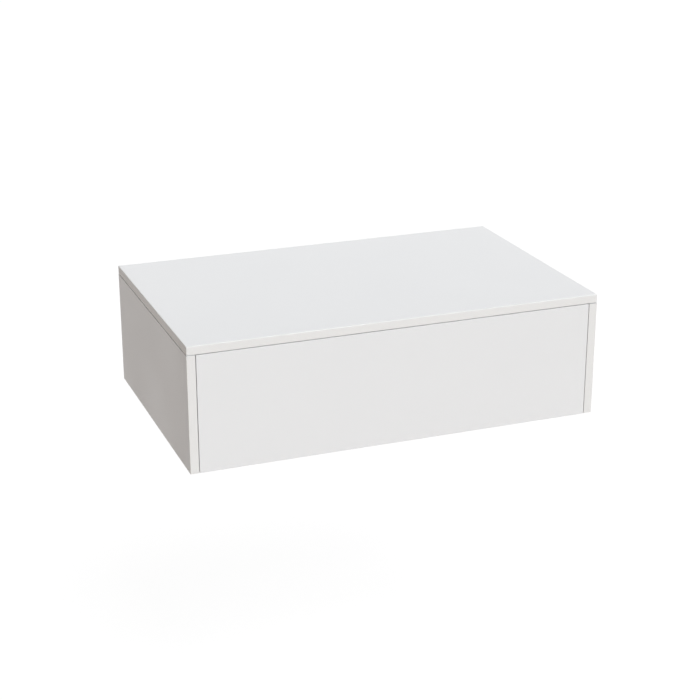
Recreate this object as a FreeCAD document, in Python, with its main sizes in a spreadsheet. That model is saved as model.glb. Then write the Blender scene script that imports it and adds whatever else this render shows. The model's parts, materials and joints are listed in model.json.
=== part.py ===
import FreeCAD, Part

import math
import operator
import os
from collections import namedtuple

import Sketcher

# Wall-hung drawer unit: a lacquered case with one full-width drawer, hung on a wall rail.
#
# Frame, in millimetres: X runs across the unit, Y points into the wall (the wall's face is Y = 0,
# the front of the unit is at negative Y) and Z is up. Every piece is drawn where it stands, with
# heights counted from the underside of the unit, and its placement then lowers it so that the
# origin is the middle of the wall rail's row of screws.
#
# "Inboard" distances run from a side panel's inner face towards the middle of the unit.

SIZES = {
    # Case
    "unit_width": 800,
    "unit_depth": 500,
    "unit_height": 240,
    "board": 16,
    "edge_ease": 1,
    "reveal_side": 1.2,
    "reveal_top": 1.3,
    "shadow_depth": 3,
    "back_board": 8,
    "back_groove": 5,
    "wall_recess": 20,
    "finger_gap": 30,
    "grip_rise": 18,
    "grip_depth": 8,
    "drill_ease": 0.2,
    "groove_ease": 0.2,
    # Glued dowel joints of the case
    "dowel_diameter": 8,
    "dowel_length": 30,
    "dowel_bite": 10,
    "dowel_front_inset": 90,
    "dowel_wall_inset": 130,
    # Wood screws
    "screw_diameter": 4,
    "screw_head": 7.5,
    "screw_head_height": 2,
    "screw_bite": 12,
    # Wall rail
    "rail_below_top": 80,
    "rail_gauge": 2,
    "rail_end_gap": 4,
    "rail_flat_half": 20,
    "rail_stand_off": 6,
    "rail_flange": 10,
    "slot_reach": 300,
    "slot_width": 8,
    "slot_length": 20,
    # Hanger brackets
    "hook_width": 7.6,
    "hook_inboard": 8.7,
    "hook_length": 70,
    "hook_nose_thickness": 4,
    "hook_nose_drop": 9,
    "hook_seat_gap": 0.2,
    "hook_nose_gap": 0.3,
    "hook_bore_depth": 16,
    "channel_ease": 0.2,
    "carrier_inboard": 2,
    "carrier_width": 15,
    "carrier_height": 18,
    "carrier_front": 84,
    "carrier_back": 36,
    "carrier_wall": 8,
    "housing_gauge": 1.5,
    "housing_width": 18,
    "housing_height": 38,
    "housing_front": 92,
    "housing_back": 30,
    "housing_ear": 20,
    "housing_screw_rise": 10,
    "adjuster_diameter": 5,
    "adjuster_head": 9,
    "adjuster_head_height": 5,
    "adjuster_gap": 0.3,
    "adjuster_slot": 1.5,
    "height_screw_inboard": 5.25,
    "height_screw_wall_inset": 60,
    "depth_screw_reach": 14,
    "notch_margin_side": 4.5,
    "notch_margin_height": 10,
    # Drawer box
    "box_gap": 5,
    "box_board": 16,
    "box_top_gap": 1.7,
    "box_back_gap": 16,
    "box_bottom": 8,
    "box_bottom_recess": 13,
    "box_groove": 6,
    "front_screw_reach": 280,
    "front_screw_low_inset": 56,
    "front_screw_high_inset": 24,
    # Runners
    "runner_gauge": 1.5,
    "runner_width": 24,
    "runner_height": 13,
    "runner_lift": 3,
    "runner_side_gap": 1,
    "runner_step": 2,
    "runner_flange": 37,
    "runner_mouth": 12,
    "runner_front_gap": 2,
    "runner_back_gap": 4,
    "runner_screw_rise": 46,
    "runner_screw_inset": 35,
    "middle_back_gap": 12,
    "middle_web": 3,
    "middle_flange": 1.8,
    "middle_width": 18,
    "carriage_length": 180,
    "carriage_setback": 116,
    "carriage_wall": 0.9,
    "carriage_gap": 0.3,
    "carriage_mouth": 10.4,
    "roller_play": 0.1,
    "roller_end_gap": 0.2,
    "roller_stations": 2,
    "roller_pitch": 120,
    "damper_length": 150,
    "damper_end_inset": 20,
    "damper_height": 11.8,
    "damper_side_gap": 0.5,
    "damper_chamfer": 2,
    "damper_rod": 4,
    "damper_rod_length": 60,
    # Stabiliser
    "tooth_module": 1.5,
    "pinion_teeth": 12,
    "pressure_angle": 25,
    "tooth_backlash": 0.3,
    "tooth_root_gap": 0.375,
    "rack_base": 3,
    "rack_width": 8,
    "rack_side_gap": 1,
    "rack_end_gap": 2,
    "web_margin": 1,
    "pinion_width": 7,
    "shaft_diameter": 8,
    "shaft_back_inset": 8,
    "bearing_play": 0.05,
    "bracket_gap": 1,
    "bracket_plate": 2,
    "bracket_length": 24,
    "bracket_ear": 6,
    "bracket_depth": 20,
    "bracket_drop": 19,
    "bracket_chamfer": 5,
    # Front couplings
    "lock_gap": 2,
    "lock_width": 24,
    "lock_depth": 46,
    "lock_plate": 3,
    "lock_drop": 8,
    "lock_stop": 5,
    "lock_pin": 4,
    "lock_pin_inboard": 60,
    "lock_pin_setback": 16,
    "lever_thickness": 4,
    "lever_gap": 1.5,
    "lever_eye": 9,
    "lever_reach": 25,
    "lever_tooth": 8,
    "lever_tooth_grip": 2,
    "lever_neck": 7,
    "lever_tab": 9,
    "lever_slot_margin": 2,
}

document = FreeCAD.newDocument("wall_drawer_unit")
sheet = document.addObject("Spreadsheet::Sheet", "sizes")
for row, (name, number) in enumerate(SIZES.items(), start=1):
    sheet.set(f"A{row}", name)
    sheet.set(f"B{row}", str(number))
    sheet.setAlias(f"B{row}", name)
document.recompute()


class Size:
    """A length worked out from the sheet: the formula that binds it, and its value now."""

    def __init__(self, formula, value):
        self.formula = formula
        self.value = value

    def _joined(self, sign, combine, other):
        if not isinstance(other, Size):
            other = Size(f"({other})", other)
        value = combine(self.value, other.value)
        return Size(f"({self.formula} {sign} {other.formula})", value)

    def __add__(self, other):
        return self._joined("+", operator.add, other)

    def __sub__(self, other):
        return self._joined("-", operator.sub, other)

    def __mul__(self, other):
        return self._joined("*", operator.mul, other)

    def __truediv__(self, other):
        return self._joined("/", operator.truediv, other)

    def __neg__(self):
        return self * -1


Circle = namedtuple("Circle", "centre diameter")
s = namedtuple("Sheet", SIZES)(*(Size(f"sizes.{name}", getattr(sheet, name)) for name in SIZES))
zero = s.board - s.board
SIDES = ((-1, "left"), (1, "right"))

# Which way each origin plane faces along its own axis
FACING = {"XY_Plane": 1, "XZ_Plane": -1, "YZ_Plane": 1}


# Drawing and features


def new_body(label):
    body = document.addObject("PartDesign::Body", label)
    body.Label = label
    body.setExpression("Placement.Base.z", (-screw_line).formula)
    return body


def bind(sketch, kind, geometry, point, size):
    """Holds one point of the sketch at this size from the sketch's origin, along one axis."""
    index = sketch.addConstraint(Sketcher.Constraint(kind, -1, 1, geometry, point, size.value))
    sketch.setExpression(f"Constraints[{index}]", size.formula)


def draw_polygon(sketch, points):
    first = sketch.GeometryCount
    flat = [FreeCAD.Vector(across.value, up.value, 0) for across, up in points]
    for start, end in zip(flat, flat[1:] + flat[:1]):
        sketch.addGeometry(Part.LineSegment(start, end))
    for index, (across, up) in enumerate(points):
        following = first + (index + 1) % len(points)
        joined = Sketcher.Constraint("Coincident", first + index, 2, following, 1)
        sketch.addConstraint(joined)
        bind(sketch, "DistanceX", first + index, 1, across)
        bind(sketch, "DistanceY", first + index, 1, up)


def draw_circle(sketch, circle):
    across, up = circle.centre
    middle = FreeCAD.Vector(across.value, up.value, 0)
    upright = FreeCAD.Vector(0, 0, 1)
    index = sketch.addGeometry(Part.Circle(middle, upright, circle.diameter.value / 2))
    bind(sketch, "DistanceX", index, 3, across)
    bind(sketch, "DistanceY", index, 3, up)
    ruled = sketch.addConstraint(Sketcher.Constraint("Diameter", index, circle.diameter.value))
    sketch.setExpression(f"Constraints[{ruled}]", circle.diameter.formula)


def rectangle(low, high):
    (left, bottom), (right, top) = low, high
    return [(left, bottom), (right, bottom), (right, top), (left, top)]


def eight_sided(centre, diameter):
    """A wood screw, a dowel or its bore, drawn with eight flats because so many repeat."""
    across, up = centre
    flat = diameter / 2
    corner = flat * math.tan(math.pi / 8)
    reaches = [(flat, corner), (corner, flat)]
    quarter_turns = ((1, 1), (-1, 1), (-1, -1), (1, -1))
    points = []
    for index, (turn_across, turn_up) in enumerate(quarter_turns):
        ordered = reaches if index % 2 == 0 else reversed(reaches)
        points += [(across + wide * turn_across, up + tall * turn_up) for wide, tall in ordered]
    return points


def new_sketch(body, plane, at, shapes):
    sketch = body.newObject("Sketcher::SketchObject", f"{body.Label}_outline")
    origin_plane = next(item for item in body.Origin.OriginFeatures if item.Role == plane)
    sketch.AttachmentSupport = [(origin_plane, "")]
    sketch.MapMode = "FlatFace"
    sketch.setExpression("AttachmentOffset.Base.z", (at * FACING[plane]).formula)
    for shape in shapes:
        if isinstance(shape, Circle):
            draw_circle(sketch, shape)
        else:
            draw_polygon(sketch, shape)
    return sketch


def add(body, plane, at, shapes, length, toward=1):
    """Pads the shapes from the plane, along its axis towards +1 or -1."""
    sketch = new_sketch(body, plane, at, shapes)
    feature = body.newObject("PartDesign::Pad", f"{body.Label}_pad")
    feature.Profile = sketch
    feature.setExpression("Length", length.formula)
    feature.Reversed = toward != FACING[plane]
    document.recompute()


def cut(body, plane, at, shapes, depth, toward):
    """Pockets the shapes into the body, and stops if nothing was cut."""
    before = body.Shape.Volume
    sketch = new_sketch(body, plane, at, shapes)
    feature = body.newObject("PartDesign::Pocket", f"{body.Label}_pocket")
    feature.Profile = sketch
    feature.setExpression("Length", depth.formula)
    feature.Reversed = toward == FACING[plane]
    document.recompute()
    if not body.Shape.Volume < before:
        raise RuntimeError(f"a pocket of {body.Label} cuts nothing")


def chamfer_edges(body, size, wanted):
    """Chamfers the body's edges whose middle the test accepts."""
    names = []
    for index, edge in enumerate(body.Shape.Edges, start=1):
        middle = edge.CenterOfMass - body.Placement.Base
        if wanted(middle):
            names.append(f"Edge{index}")
    base = body.Tip
    feature = body.newObject("PartDesign::Chamfer", f"{body.Label}_edges")
    feature.Base = (base, names)
    feature.setExpression("Size", size.formula)
    document.recompute()


def board_between(label, low, high):
    """A plain board between two corners."""
    (left, front, bottom), (right, back, top) = low, high
    body = new_body(label)
    add(body, "XY_Plane", bottom, [rectangle((left, front), (right, back))], top - bottom)
    return body


# Lines that many pieces share

half_width = s.unit_width / 2
half_inner = half_width - s.board
front_face = -s.unit_depth
front_back = front_face + s.board
under_top = s.unit_height - s.board
back_front = -(s.wall_recess + s.back_board)
screw_line = s.unit_height - s.rail_below_top


def inboard(side, distance):
    """The X of a place this far inboard of one side panel's inner face."""
    return (half_inner - distance) * side


dowel_places = (front_face + s.dowel_front_inset, -s.dowel_wall_inset)
dowel_bore = s.dowel_diameter + s.drill_ease
screw_bore = s.screw_diameter + s.drill_ease
dowel_rest = s.dowel_length - s.dowel_bite
panel_middle = half_inner + s.board / 2
bottom_front = front_back + s.finger_gap

# Wall rail and hangers
rail_joggle = screw_line + s.rail_flat_half
rail_top = rail_joggle + s.rail_stand_off + s.rail_flange
hook_low = rail_top + s.hook_seat_gap
hook_high = hook_low + s.hook_width
hook_middle = (hook_low + hook_high) / 2
hook_centre = s.hook_inboard + s.hook_width / 2
housing_low = hook_middle - s.housing_height / 2
housing_high = housing_low + s.housing_height
housing_screw_place = -(s.housing_front + s.housing_ear / 2)
housing_screw_heights = (hook_middle - s.housing_screw_rise, hook_middle + s.housing_screw_rise)

# Runners
runner_low = s.board + s.runner_lift
runner_centre = s.box_gap + s.box_board + s.runner_side_gap + s.runner_width / 2
cavity_low = runner_low + s.runner_gauge
cavity_height = s.runner_height - s.runner_gauge * 2
upper_low = runner_low + s.runner_height + s.runner_step
bottom_underside = upper_low + s.runner_height
cavity_high = bottom_underside - s.runner_gauge
runner_front = front_back + s.runner_front_gap
runner_back = back_front - s.runner_back_gap
runner_screw_places = (runner_front + s.runner_screw_inset, runner_back - s.runner_screw_inset)

# Drawer box
box_low = bottom_underside - s.box_bottom_recess
box_high = housing_low - s.adjuster_gap - s.adjuster_head_height - s.box_top_gap
box_back = back_front - s.box_back_gap
box_outer = s.box_gap
box_inner = s.box_gap + s.box_board
inner_front_back = front_back + s.box_board
floor_height = bottom_underside + s.box_bottom
front_screw_heights = (box_low + s.front_screw_low_inset, box_high - s.front_screw_high_inset)
drawer_runner_front = inner_front_back + s.runner_front_gap
drawer_runner_length = box_back - s.runner_front_gap - drawer_runner_front
middle_front = drawer_runner_front + s.runner_front_gap

# Stabiliser
rack_inner = runner_centre + s.runner_width / 2 + s.rack_side_gap
web_edge = rack_inner + s.rack_width + s.web_margin
shaft_place = box_back - s.shaft_back_inset
pitch_height = cavity_low + s.rack_base + s.tooth_module + s.tooth_root_gap
shaft_height = pitch_height + s.tooth_module * s.pinion_teeth / 2

# Front couplings
pin_place = drawer_runner_front + s.lock_pin_setback


# Case


def make_top_board():
    low = (-half_width, front_face, under_top)
    high = (half_width, zero, s.unit_height)
    top = board_between("top_board", low, high)
    chamfer_edges(top, s.edge_ease, lambda middle: True)
    places = [(panel_middle * side, y) for side, _ in SIDES for y in dowel_places]
    dowels = [eight_sided(place, dowel_bore) for place in places]
    cut(top, "XY_Plane", under_top, dowels, s.dowel_bite + s.drill_ease, 1)


def make_side_panel(side, name):
    inner = half_inner * side
    outer = half_width * side
    low = (inner, front_face, zero) if side > 0 else (outer, front_face, zero)
    high = (outer, zero, under_top) if side > 0 else (inner, zero, under_top)
    panel = board_between(f"side_panel_{name}", low, high)
    joint_line = under_top.value - s.edge_ease.value
    chamfer_edges(panel, s.edge_ease, lambda middle: middle.z < joint_line)

    # A shadow line under the top board, on the outer face and the front edge
    step = outer - s.shadow_depth * side
    behind = front_face + s.shadow_depth
    shadow = [(outer, front_face), (inner, front_face), (inner, behind), (step, behind)]
    shadow += [(step, zero), (outer, zero)]
    cut(panel, "XY_Plane", under_top, [shadow], s.reveal_top, -1)

    # Groove for the back panel
    groove_ease = s.groove_ease / 2
    bed = inner + (s.back_groove + groove_ease) * side
    groove = rectangle((inner, back_front - groove_ease), (bed, groove_ease - s.wall_recess))
    cut(panel, "XY_Plane", under_top, [groove], under_top, -1)

    # Bores for the dowels of the top board and of the bottom board
    dowels = [eight_sided((panel_middle * side, y), dowel_bore) for y in dowel_places]
    cut(panel, "XY_Plane", under_top, dowels, dowel_rest + s.drill_ease, -1)
    dowels = [eight_sided((y, s.board / 2), dowel_bore) for y in dowel_places]
    cut(panel, "YZ_Plane", inner, dowels, s.dowel_bite + s.drill_ease, side)

    # Bores for the screws of the runner and the hanger housing
    screws = [eight_sided((y, s.runner_screw_rise), screw_bore) for y in runner_screw_places]
    screws += [eight_sided((housing_screw_place, z), screw_bore) for z in housing_screw_heights]
    cut(panel, "YZ_Plane", inner, screws, s.screw_bite + s.drill_ease, side)


def make_bottom_board():
    low = (-half_inner, bottom_front, zero)
    high = (half_inner, back_front, s.board)
    bottom = board_between("bottom_board", low, high)
    front_line = bottom_front.value + s.edge_ease.value
    chamfer_edges(bottom, s.edge_ease, lambda middle: middle.y < front_line)
    for side, _ in SIDES:
        dowels = [eight_sided((y, s.board / 2), dowel_bore) for y in dowel_places]
        cut(bottom, "YZ_Plane", half_inner * side, dowels, dowel_rest + s.drill_ease, -side)


def make_back_panel():
    reach = half_inner + s.back_groove
    panel = board_between("back_panel", (-reach, back_front, zero), (reach, -s.wall_recess, under_top))
    notches = []
    for side, _ in SIDES:
        near = inboard(side, s.hook_inboard - s.notch_margin_side)
        far = inboard(side, s.hook_inboard + s.hook_width + s.notch_margin_side)
        low = (near, hook_low - s.notch_margin_height)
        high = (far, hook_high + s.notch_margin_height)
        notches.append(rectangle(low, high))
    cut(panel, "XZ_Plane", -s.wall_recess, notches, s.back_board, -1)


def make_wood_dowels():
    dowels = new_body("wood_dowels")
    for side, _ in SIDES:
        upright = [eight_sided((panel_middle * side, y), s.dowel_diameter) for y in dowel_places]
        add(dowels, "XY_Plane", under_top - dowel_rest, upright, s.dowel_length)
        level = [eight_sided((y, s.board / 2), s.dowel_diameter) for y in dowel_places]
        add(dowels, "YZ_Plane", inboard(side, dowel_rest), level, s.dowel_length, side)


def add_wood_screws(body, side, seat, places):
    """Pan-head screws driven outwards into a side panel, their heads on a seat inboard of it."""
    heads = [eight_sided(place, s.screw_head) for place in places]
    shanks = [eight_sided(place, s.screw_diameter) for place in places]
    add(body, "YZ_Plane", inboard(side, seat + s.screw_head_height), heads, s.screw_head_height, side)
    add(body, "YZ_Plane", inboard(side, seat), shanks, seat + s.screw_bite, side)


# Wall rail and hangers


def make_wall_rail():
    """A joggled strip: its lower part lies on the wall, its upper flange stands off for the hooks."""
    rail = new_body("wall_rail")
    reach = half_inner - s.rail_end_gap
    bend_share = math.sqrt(2) - 1
    bend = s.rail_gauge * bend_share
    low = screw_line - s.rail_flat_half
    back = -s.rail_stand_off
    profile = [
        (zero, low),
        (zero, rail_joggle),
        (back, rail_joggle + s.rail_stand_off),
        (back, rail_top),
        (back - s.rail_gauge, rail_top),
        (back - s.rail_gauge, rail_joggle + s.rail_stand_off - bend),
        (-s.rail_gauge, rail_joggle - bend),
        (-s.rail_gauge, low),
    ]
    add(rail, "YZ_Plane", -reach, [profile], reach * 2)
    half_run = (s.slot_length - s.slot_width) / 2
    radius = s.slot_width / 2
    runs = []
    ends = []
    for side, _ in SIDES:
        middle = s.slot_reach * side
        low = (middle - half_run, screw_line - radius)
        high = (middle + half_run, screw_line + radius)
        runs.append(rectangle(low, high))
        ends += [Circle((middle + half_run * end, screw_line), s.slot_width) for end, _ in SIDES]
    cut(rail, "XZ_Plane", zero, runs, s.rail_gauge, -1)
    cut(rail, "XZ_Plane", zero, ends, s.rail_gauge, -1)


def make_hanger_hook(side, name):
    """A square bar through the back panel, whose nose drops behind the rail's flange."""
    hook = new_body(f"hanger_hook_{name}")
    nose_front = -(s.rail_stand_off - s.hook_nose_gap)
    nose_back = nose_front + s.hook_nose_thickness
    nose_low = hook_low - s.hook_nose_drop
    profile = [
        (nose_back, nose_low),
        (nose_back, hook_high),
        (-s.hook_length, hook_high),
        (-s.hook_length, hook_low),
        (nose_front, hook_low),
        (nose_front, nose_low),
    ]
    add(hook, "YZ_Plane", inboard(side, s.hook_inboard), [profile], s.hook_width, -side)
    bore = Circle((inboard(side, hook_centre), hook_middle), s.adjuster_diameter + s.drill_ease)
    cut(hook, "XZ_Plane", -s.hook_length, [bore], s.hook_bore_depth, 1)


def make_hanger_carrier(side, name):
    """A block that slides up and down in the housing and lets the hook's bar slide through it."""
    near = inboard(side, s.carrier_inboard)
    far = inboard(side, s.carrier_inboard + s.carrier_width)
    low = hook_middle - s.carrier_height / 2
    carrier = new_body(f"hanger_carrier_{name}")
    outline = rectangle((near, -s.carrier_front), (far, -s.carrier_back))
    add(carrier, "XY_Plane", low, [outline], s.carrier_height)
    near = inboard(side, s.hook_inboard - s.channel_ease)
    far = inboard(side, s.hook_inboard + s.hook_width + s.channel_ease)
    channel = rectangle((near, hook_low - s.channel_ease), (far, hook_high + s.channel_ease))
    depth = s.carrier_front - s.carrier_back - s.carrier_wall
    cut(carrier, "XZ_Plane", -s.carrier_back, [channel], depth, -1)
    bore = s.adjuster_diameter + s.drill_ease
    level = Circle((inboard(side, hook_centre), hook_middle), bore)
    cut(carrier, "XZ_Plane", -s.carrier_front, [level], s.carrier_wall, 1)
    upright = Circle((inboard(side, s.height_screw_inboard), -s.height_screw_wall_inset), bore)
    cut(carrier, "XY_Plane", low, [upright], s.carrier_height, 1)


def make_hanger_housing(side, name):
    """A steel channel with an ear in front for its screws, notched where the height screw clips in."""
    housing = new_body(f"hanger_housing_{name}")
    face = inboard(side, zero)
    plate = inboard(side, s.housing_gauge)
    edge = inboard(side, s.housing_width)
    channel = [
        (face, housing_low),
        (edge, housing_low),
        (edge, housing_low + s.housing_gauge),
        (plate, housing_low + s.housing_gauge),
        (plate, housing_high - s.housing_gauge),
        (edge, housing_high - s.housing_gauge),
        (edge, housing_high),
        (face, housing_high),
    ]
    add(housing, "XZ_Plane", -s.housing_front, [channel], s.housing_front - s.housing_back)
    ear = rectangle((face, housing_low), (plate, housing_high))
    add(housing, "XZ_Plane", -s.housing_front, [ear], s.housing_ear, -1)
    half_bore = (s.adjuster_diameter + s.drill_ease) / 2
    low = (inboard(side, s.height_screw_inboard) + half_bore * side, -s.height_screw_wall_inset - half_bore)
    notch = rectangle(low, (edge, half_bore - s.height_screw_wall_inset))
    cut(housing, "XY_Plane", housing_low, [notch], s.housing_height, 1)
    screws = [eight_sided((housing_screw_place, z), screw_bore) for z in housing_screw_heights]
    cut(housing, "YZ_Plane", plate, screws, s.housing_gauge, side)


def make_hanger_screws():
    screws = new_body("hanger_screws")
    places = [(housing_screw_place, z) for z in housing_screw_heights]
    for side, _ in SIDES:
        add_wood_screws(screws, side, s.housing_gauge, places)


def driver_slot(centre):
    """The slot that a screwdriver turns the adjuster by."""
    across, up = centre
    half_length = s.adjuster_diameter / 2
    half_width = s.adjuster_slot / 2
    return rectangle((across - half_length, up - half_width), (across + half_length, up + half_width))


def make_height_screw(side, name):
    """Turned from below, it lifts or lowers the unit on the carrier."""
    screw = new_body(f"height_screw_{name}")
    centre = (inboard(side, s.height_screw_inboard), -s.height_screw_wall_inset)
    head_top = housing_low - s.adjuster_gap
    head_low = head_top - s.adjuster_head_height
    add(screw, "XY_Plane", head_low, [Circle(centre, s.adjuster_head)], s.adjuster_head_height)
    shank = Circle(centre, s.adjuster_diameter)
    add(screw, "XY_Plane", head_top, [shank], housing_high - head_top - s.adjuster_gap)
    cut(screw, "XY_Plane", head_low, [driver_slot(centre)], s.adjuster_slot, 1)


def make_depth_screw(side, name):
    """Turned from the front, it draws the unit to the wall along the hook's bar."""
    screw = new_body(f"depth_screw_{name}")
    centre = (inboard(side, hook_centre), hook_middle)
    head_back = -(s.carrier_front + s.adjuster_gap)
    head_front = head_back - s.adjuster_head_height
    add(screw, "XZ_Plane", head_front, [Circle(centre, s.adjuster_head)], s.adjuster_head_height)
    tip = s.depth_screw_reach - s.hook_length
    add(screw, "XZ_Plane", head_back, [Circle(centre, s.adjuster_diameter)], tip - head_back)
    cut(screw, "XZ_Plane", head_front, [driver_slot(centre)], s.adjuster_slot, 1)


# Drawer box


def front_screw_places():
    return [(s.front_screw_reach * side, z) for side, _ in SIDES for z in front_screw_heights]


def make_drawer_front():
    """An inset slab, bevelled behind its lower edge so that fingers find a grip from below."""
    half = half_inner - s.reveal_side
    low = (-half, front_face, zero)
    high = (half, front_back, under_top - s.reveal_top)
    front = board_between("drawer_front", low, high)
    chamfer_edges(front, s.edge_ease, lambda middle: True)
    bevel = [(front_back, zero), (front_back - s.grip_depth, zero), (front_back, s.grip_rise)]
    cut(front, "YZ_Plane", -half, [bevel], half * 2, 1)
    screws = [eight_sided(place, screw_bore) for place in front_screw_places()]
    cut(front, "XZ_Plane", front_back, screws, s.screw_bite, -1)


def make_drawer_side(side, name):
    outer = inboard(side, box_outer)
    inner = inboard(side, box_inner)
    body = new_body(f"drawer_side_{name}")
    outline = rectangle((outer, front_back), (inner, box_back))
    add(body, "XY_Plane", box_low, [outline], box_high - box_low)
    bed = inboard(side, box_inner - s.box_groove - s.groove_ease)
    groove = rectangle((inner, bottom_underside), (bed, floor_height + s.groove_ease))
    cut(body, "XZ_Plane", box_back, [groove], box_back - front_back, -1)

    # Rabbets that the inner front and the back are glued into
    front_rabbet = rectangle((inner, front_back), (bed, inner_front_back))
    back_rabbet = rectangle((inner, box_back - s.box_board), (bed, box_back))
    cut(body, "XY_Plane", box_high, [front_rabbet, back_rabbet], box_high - box_low, -1)


def make_drawer_inner_front():
    half = half_inner - box_inner + s.box_groove
    low = (-half, front_back, box_low)
    high = (half, inner_front_back, box_high)
    body = board_between("drawer_inner_front", low, high)
    bed = inner_front_back - s.box_groove - s.groove_ease
    groove = rectangle((bed, bottom_underside), (inner_front_back, floor_height + s.groove_ease))
    cut(body, "YZ_Plane", -half, [groove], half * 2, 1)
    screws = [eight_sided(place, screw_bore) for place in front_screw_places()]
    cut(body, "XZ_Plane", inner_front_back, screws, s.box_board, -1)


def make_drawer_back():
    half = half_inner - box_inner + s.box_groove
    low = (-half, box_back - s.box_board, floor_height)
    board_between("drawer_back", low, (half, box_back, box_high))


def make_drawer_bottom():
    half = half_inner - box_inner + s.box_groove
    low = (-half, inner_front_back - s.box_groove, bottom_underside)
    board_between("drawer_bottom", low, (half, box_back, floor_height))


def make_front_screws():
    """Driven from inside the drawer, they hold the front."""
    screws = new_body("front_screws")
    heads = [eight_sided(place, s.screw_head) for place in front_screw_places()]
    shanks = [eight_sided(place, s.screw_diameter) for place in front_screw_places()]
    add(screws, "XZ_Plane", inner_front_back, heads, s.screw_head_height)
    length = s.box_board + s.screw_bite - s.drill_ease
    add(screws, "XZ_Plane", inner_front_back, shanks, length, -1)


# Runners


def offsets(side, points, centre_height, up=1):
    """Section points as X and height, from distances about the runner's centre line."""
    middle = inboard(side, runner_centre)
    return [(middle - across * side, centre_height + rise * up) for across, rise in points]


def make_runner_cabinet(side, name):
    """The fixed member: a flange on the side panel, an open channel, and a ledge for the rack."""
    t = s.runner_gauge
    half = s.runner_width / 2
    mouth = s.runner_mouth / 2
    face = -runner_centre
    ledge = web_edge - runner_centre
    lip = s.runner_height - t
    section = [
        (face, zero),
        (ledge, zero),
        (ledge, t),
        (half, t),
        (half, s.runner_height),
        (mouth, s.runner_height),
        (mouth, lip),
        (half - t, lip),
        (half - t, t),
        (t - half, t),
        (t - half, lip),
        (-mouth, lip),
        (-mouth, s.runner_height),
        (-half, s.runner_height),
        (-half, t),
        (face + t, t),
        (face + t, s.runner_flange),
        (face, s.runner_flange),
    ]
    member = new_body(f"runner_cabinet_{name}")
    outline = offsets(side, section, runner_low)
    add(member, "XZ_Plane", runner_front, [outline], runner_back - runner_front)
    screws = [eight_sided((y, s.runner_screw_rise), screw_bore) for y in runner_screw_places]
    cut(member, "YZ_Plane", inboard(side, t), screws, t, side)


def make_runner_middle(side, name):
    """The middle member: an I section whose flanges run between the rollers."""
    web = s.middle_web / 2
    half = s.middle_width / 2
    thick = s.middle_flange
    low = cavity_low + (cavity_height - thick) / 2
    high = cavity_high - (cavity_height - thick) / 2 - low
    section = [
        (-half, zero),
        (half, zero),
        (half, thick),
        (web, thick),
        (web, high - thick),
        (half, high - thick),
        (half, high),
        (-half, high),
        (-half, high - thick),
        (-web, high - thick),
        (-web, thick),
        (-half, thick),
    ]
    member = new_body(f"runner_middle_{name}")
    length = runner_back - s.middle_back_gap - middle_front
    add(member, "XZ_Plane", middle_front, [offsets(side, section, low)], length)


def make_runner_drawer(side, name):
    """The drawer member: a channel open downwards, slotted for the coupling's tooth."""
    t = s.runner_gauge
    half = s.runner_width / 2
    mouth = s.runner_mouth / 2
    section = [
        (-half, s.runner_height),
        (half, s.runner_height),
        (half, zero),
        (mouth, zero),
        (mouth, t),
        (half - t, t),
        (half - t, s.runner_height - t),
        (t - half, s.runner_height - t),
        (t - half, t),
        (-mouth, t),
        (-mouth, zero),
        (-half, zero),
    ]
    member = new_body(f"runner_drawer_{name}")
    outline = offsets(side, section, upper_low)
    add(member, "XZ_Plane", drawer_runner_front, [outline], drawer_runner_length)
    tooth = pin_place + s.lever_reach
    margin = s.lever_tooth / 2 + s.lever_slot_margin
    low = bottom_underside - s.lock_plate - s.lever_gap * 2 - s.lever_thickness
    slot = rectangle((tooth - margin, low), (tooth + margin, bottom_underside - s.lock_plate))
    cut(member, "YZ_Plane", inboard(side, runner_centre + half), [slot], t, side)


def make_carriage(side, name, level, closed_height, up):
    """A roller cage round one flange of the middle member, and the rollers in it.

    Its section is drawn from the channel's closed side, upwards in the lower channel and
    downwards in the upper one. Two strips glide under the channel's lips.
    """
    diameter = (cavity_height - s.middle_flange) / 2 - s.roller_play * 2
    outer = s.middle_width / 2 + s.carriage_gap + s.carriage_wall
    inner = outer - s.carriage_wall
    mouth = s.carriage_mouth / 2
    strip_low = (cavity_height - s.middle_flange) / 2 - s.carriage_gap
    strip_high = cavity_height - strip_low
    section = [
        (-outer, s.carriage_gap),
        (outer, s.carriage_gap),
        (outer, cavity_height - s.carriage_gap),
        (mouth, cavity_height - s.carriage_gap),
        (mouth, strip_high),
        (inner, strip_high),
        (inner, strip_low),
        (-inner, strip_low),
        (-inner, strip_high),
        (-mouth, strip_high),
        (-mouth, cavity_height - s.carriage_gap),
        (-outer, cavity_height - s.carriage_gap),
    ]
    cage = new_body(f"{level}_carriage_{name}")
    start = middle_front + s.carriage_setback
    outline = offsets(side, section, closed_height, up)
    add(cage, "XZ_Plane", start, [outline], s.carriage_length)

    stations = int(s.roller_stations.value)
    spread = s.roller_pitch * (stations - 1)
    middle = inboard(side, runner_centre)
    half = s.middle_width / 2
    reach = half + s.roller_end_gap
    window = diameter / 2 + s.roller_end_gap
    height = closed_height + (diameter / 2 + s.roller_play) * up
    windows = []
    circles = []
    for station in range(stations):
        y = start + (s.carriage_length - spread) / 2 + s.roller_pitch * station
        windows.append(rectangle((middle - reach, y - window), (middle + reach, y + window)))
        circles.append(Circle((y, height), diameter))
    cut(cage, "XY_Plane", closed_height, windows, strip_low, up)
    rollers = new_body(f"{level}_rollers_{name}")
    add(rollers, "YZ_Plane", middle - half, circles, half * 2)


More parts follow.
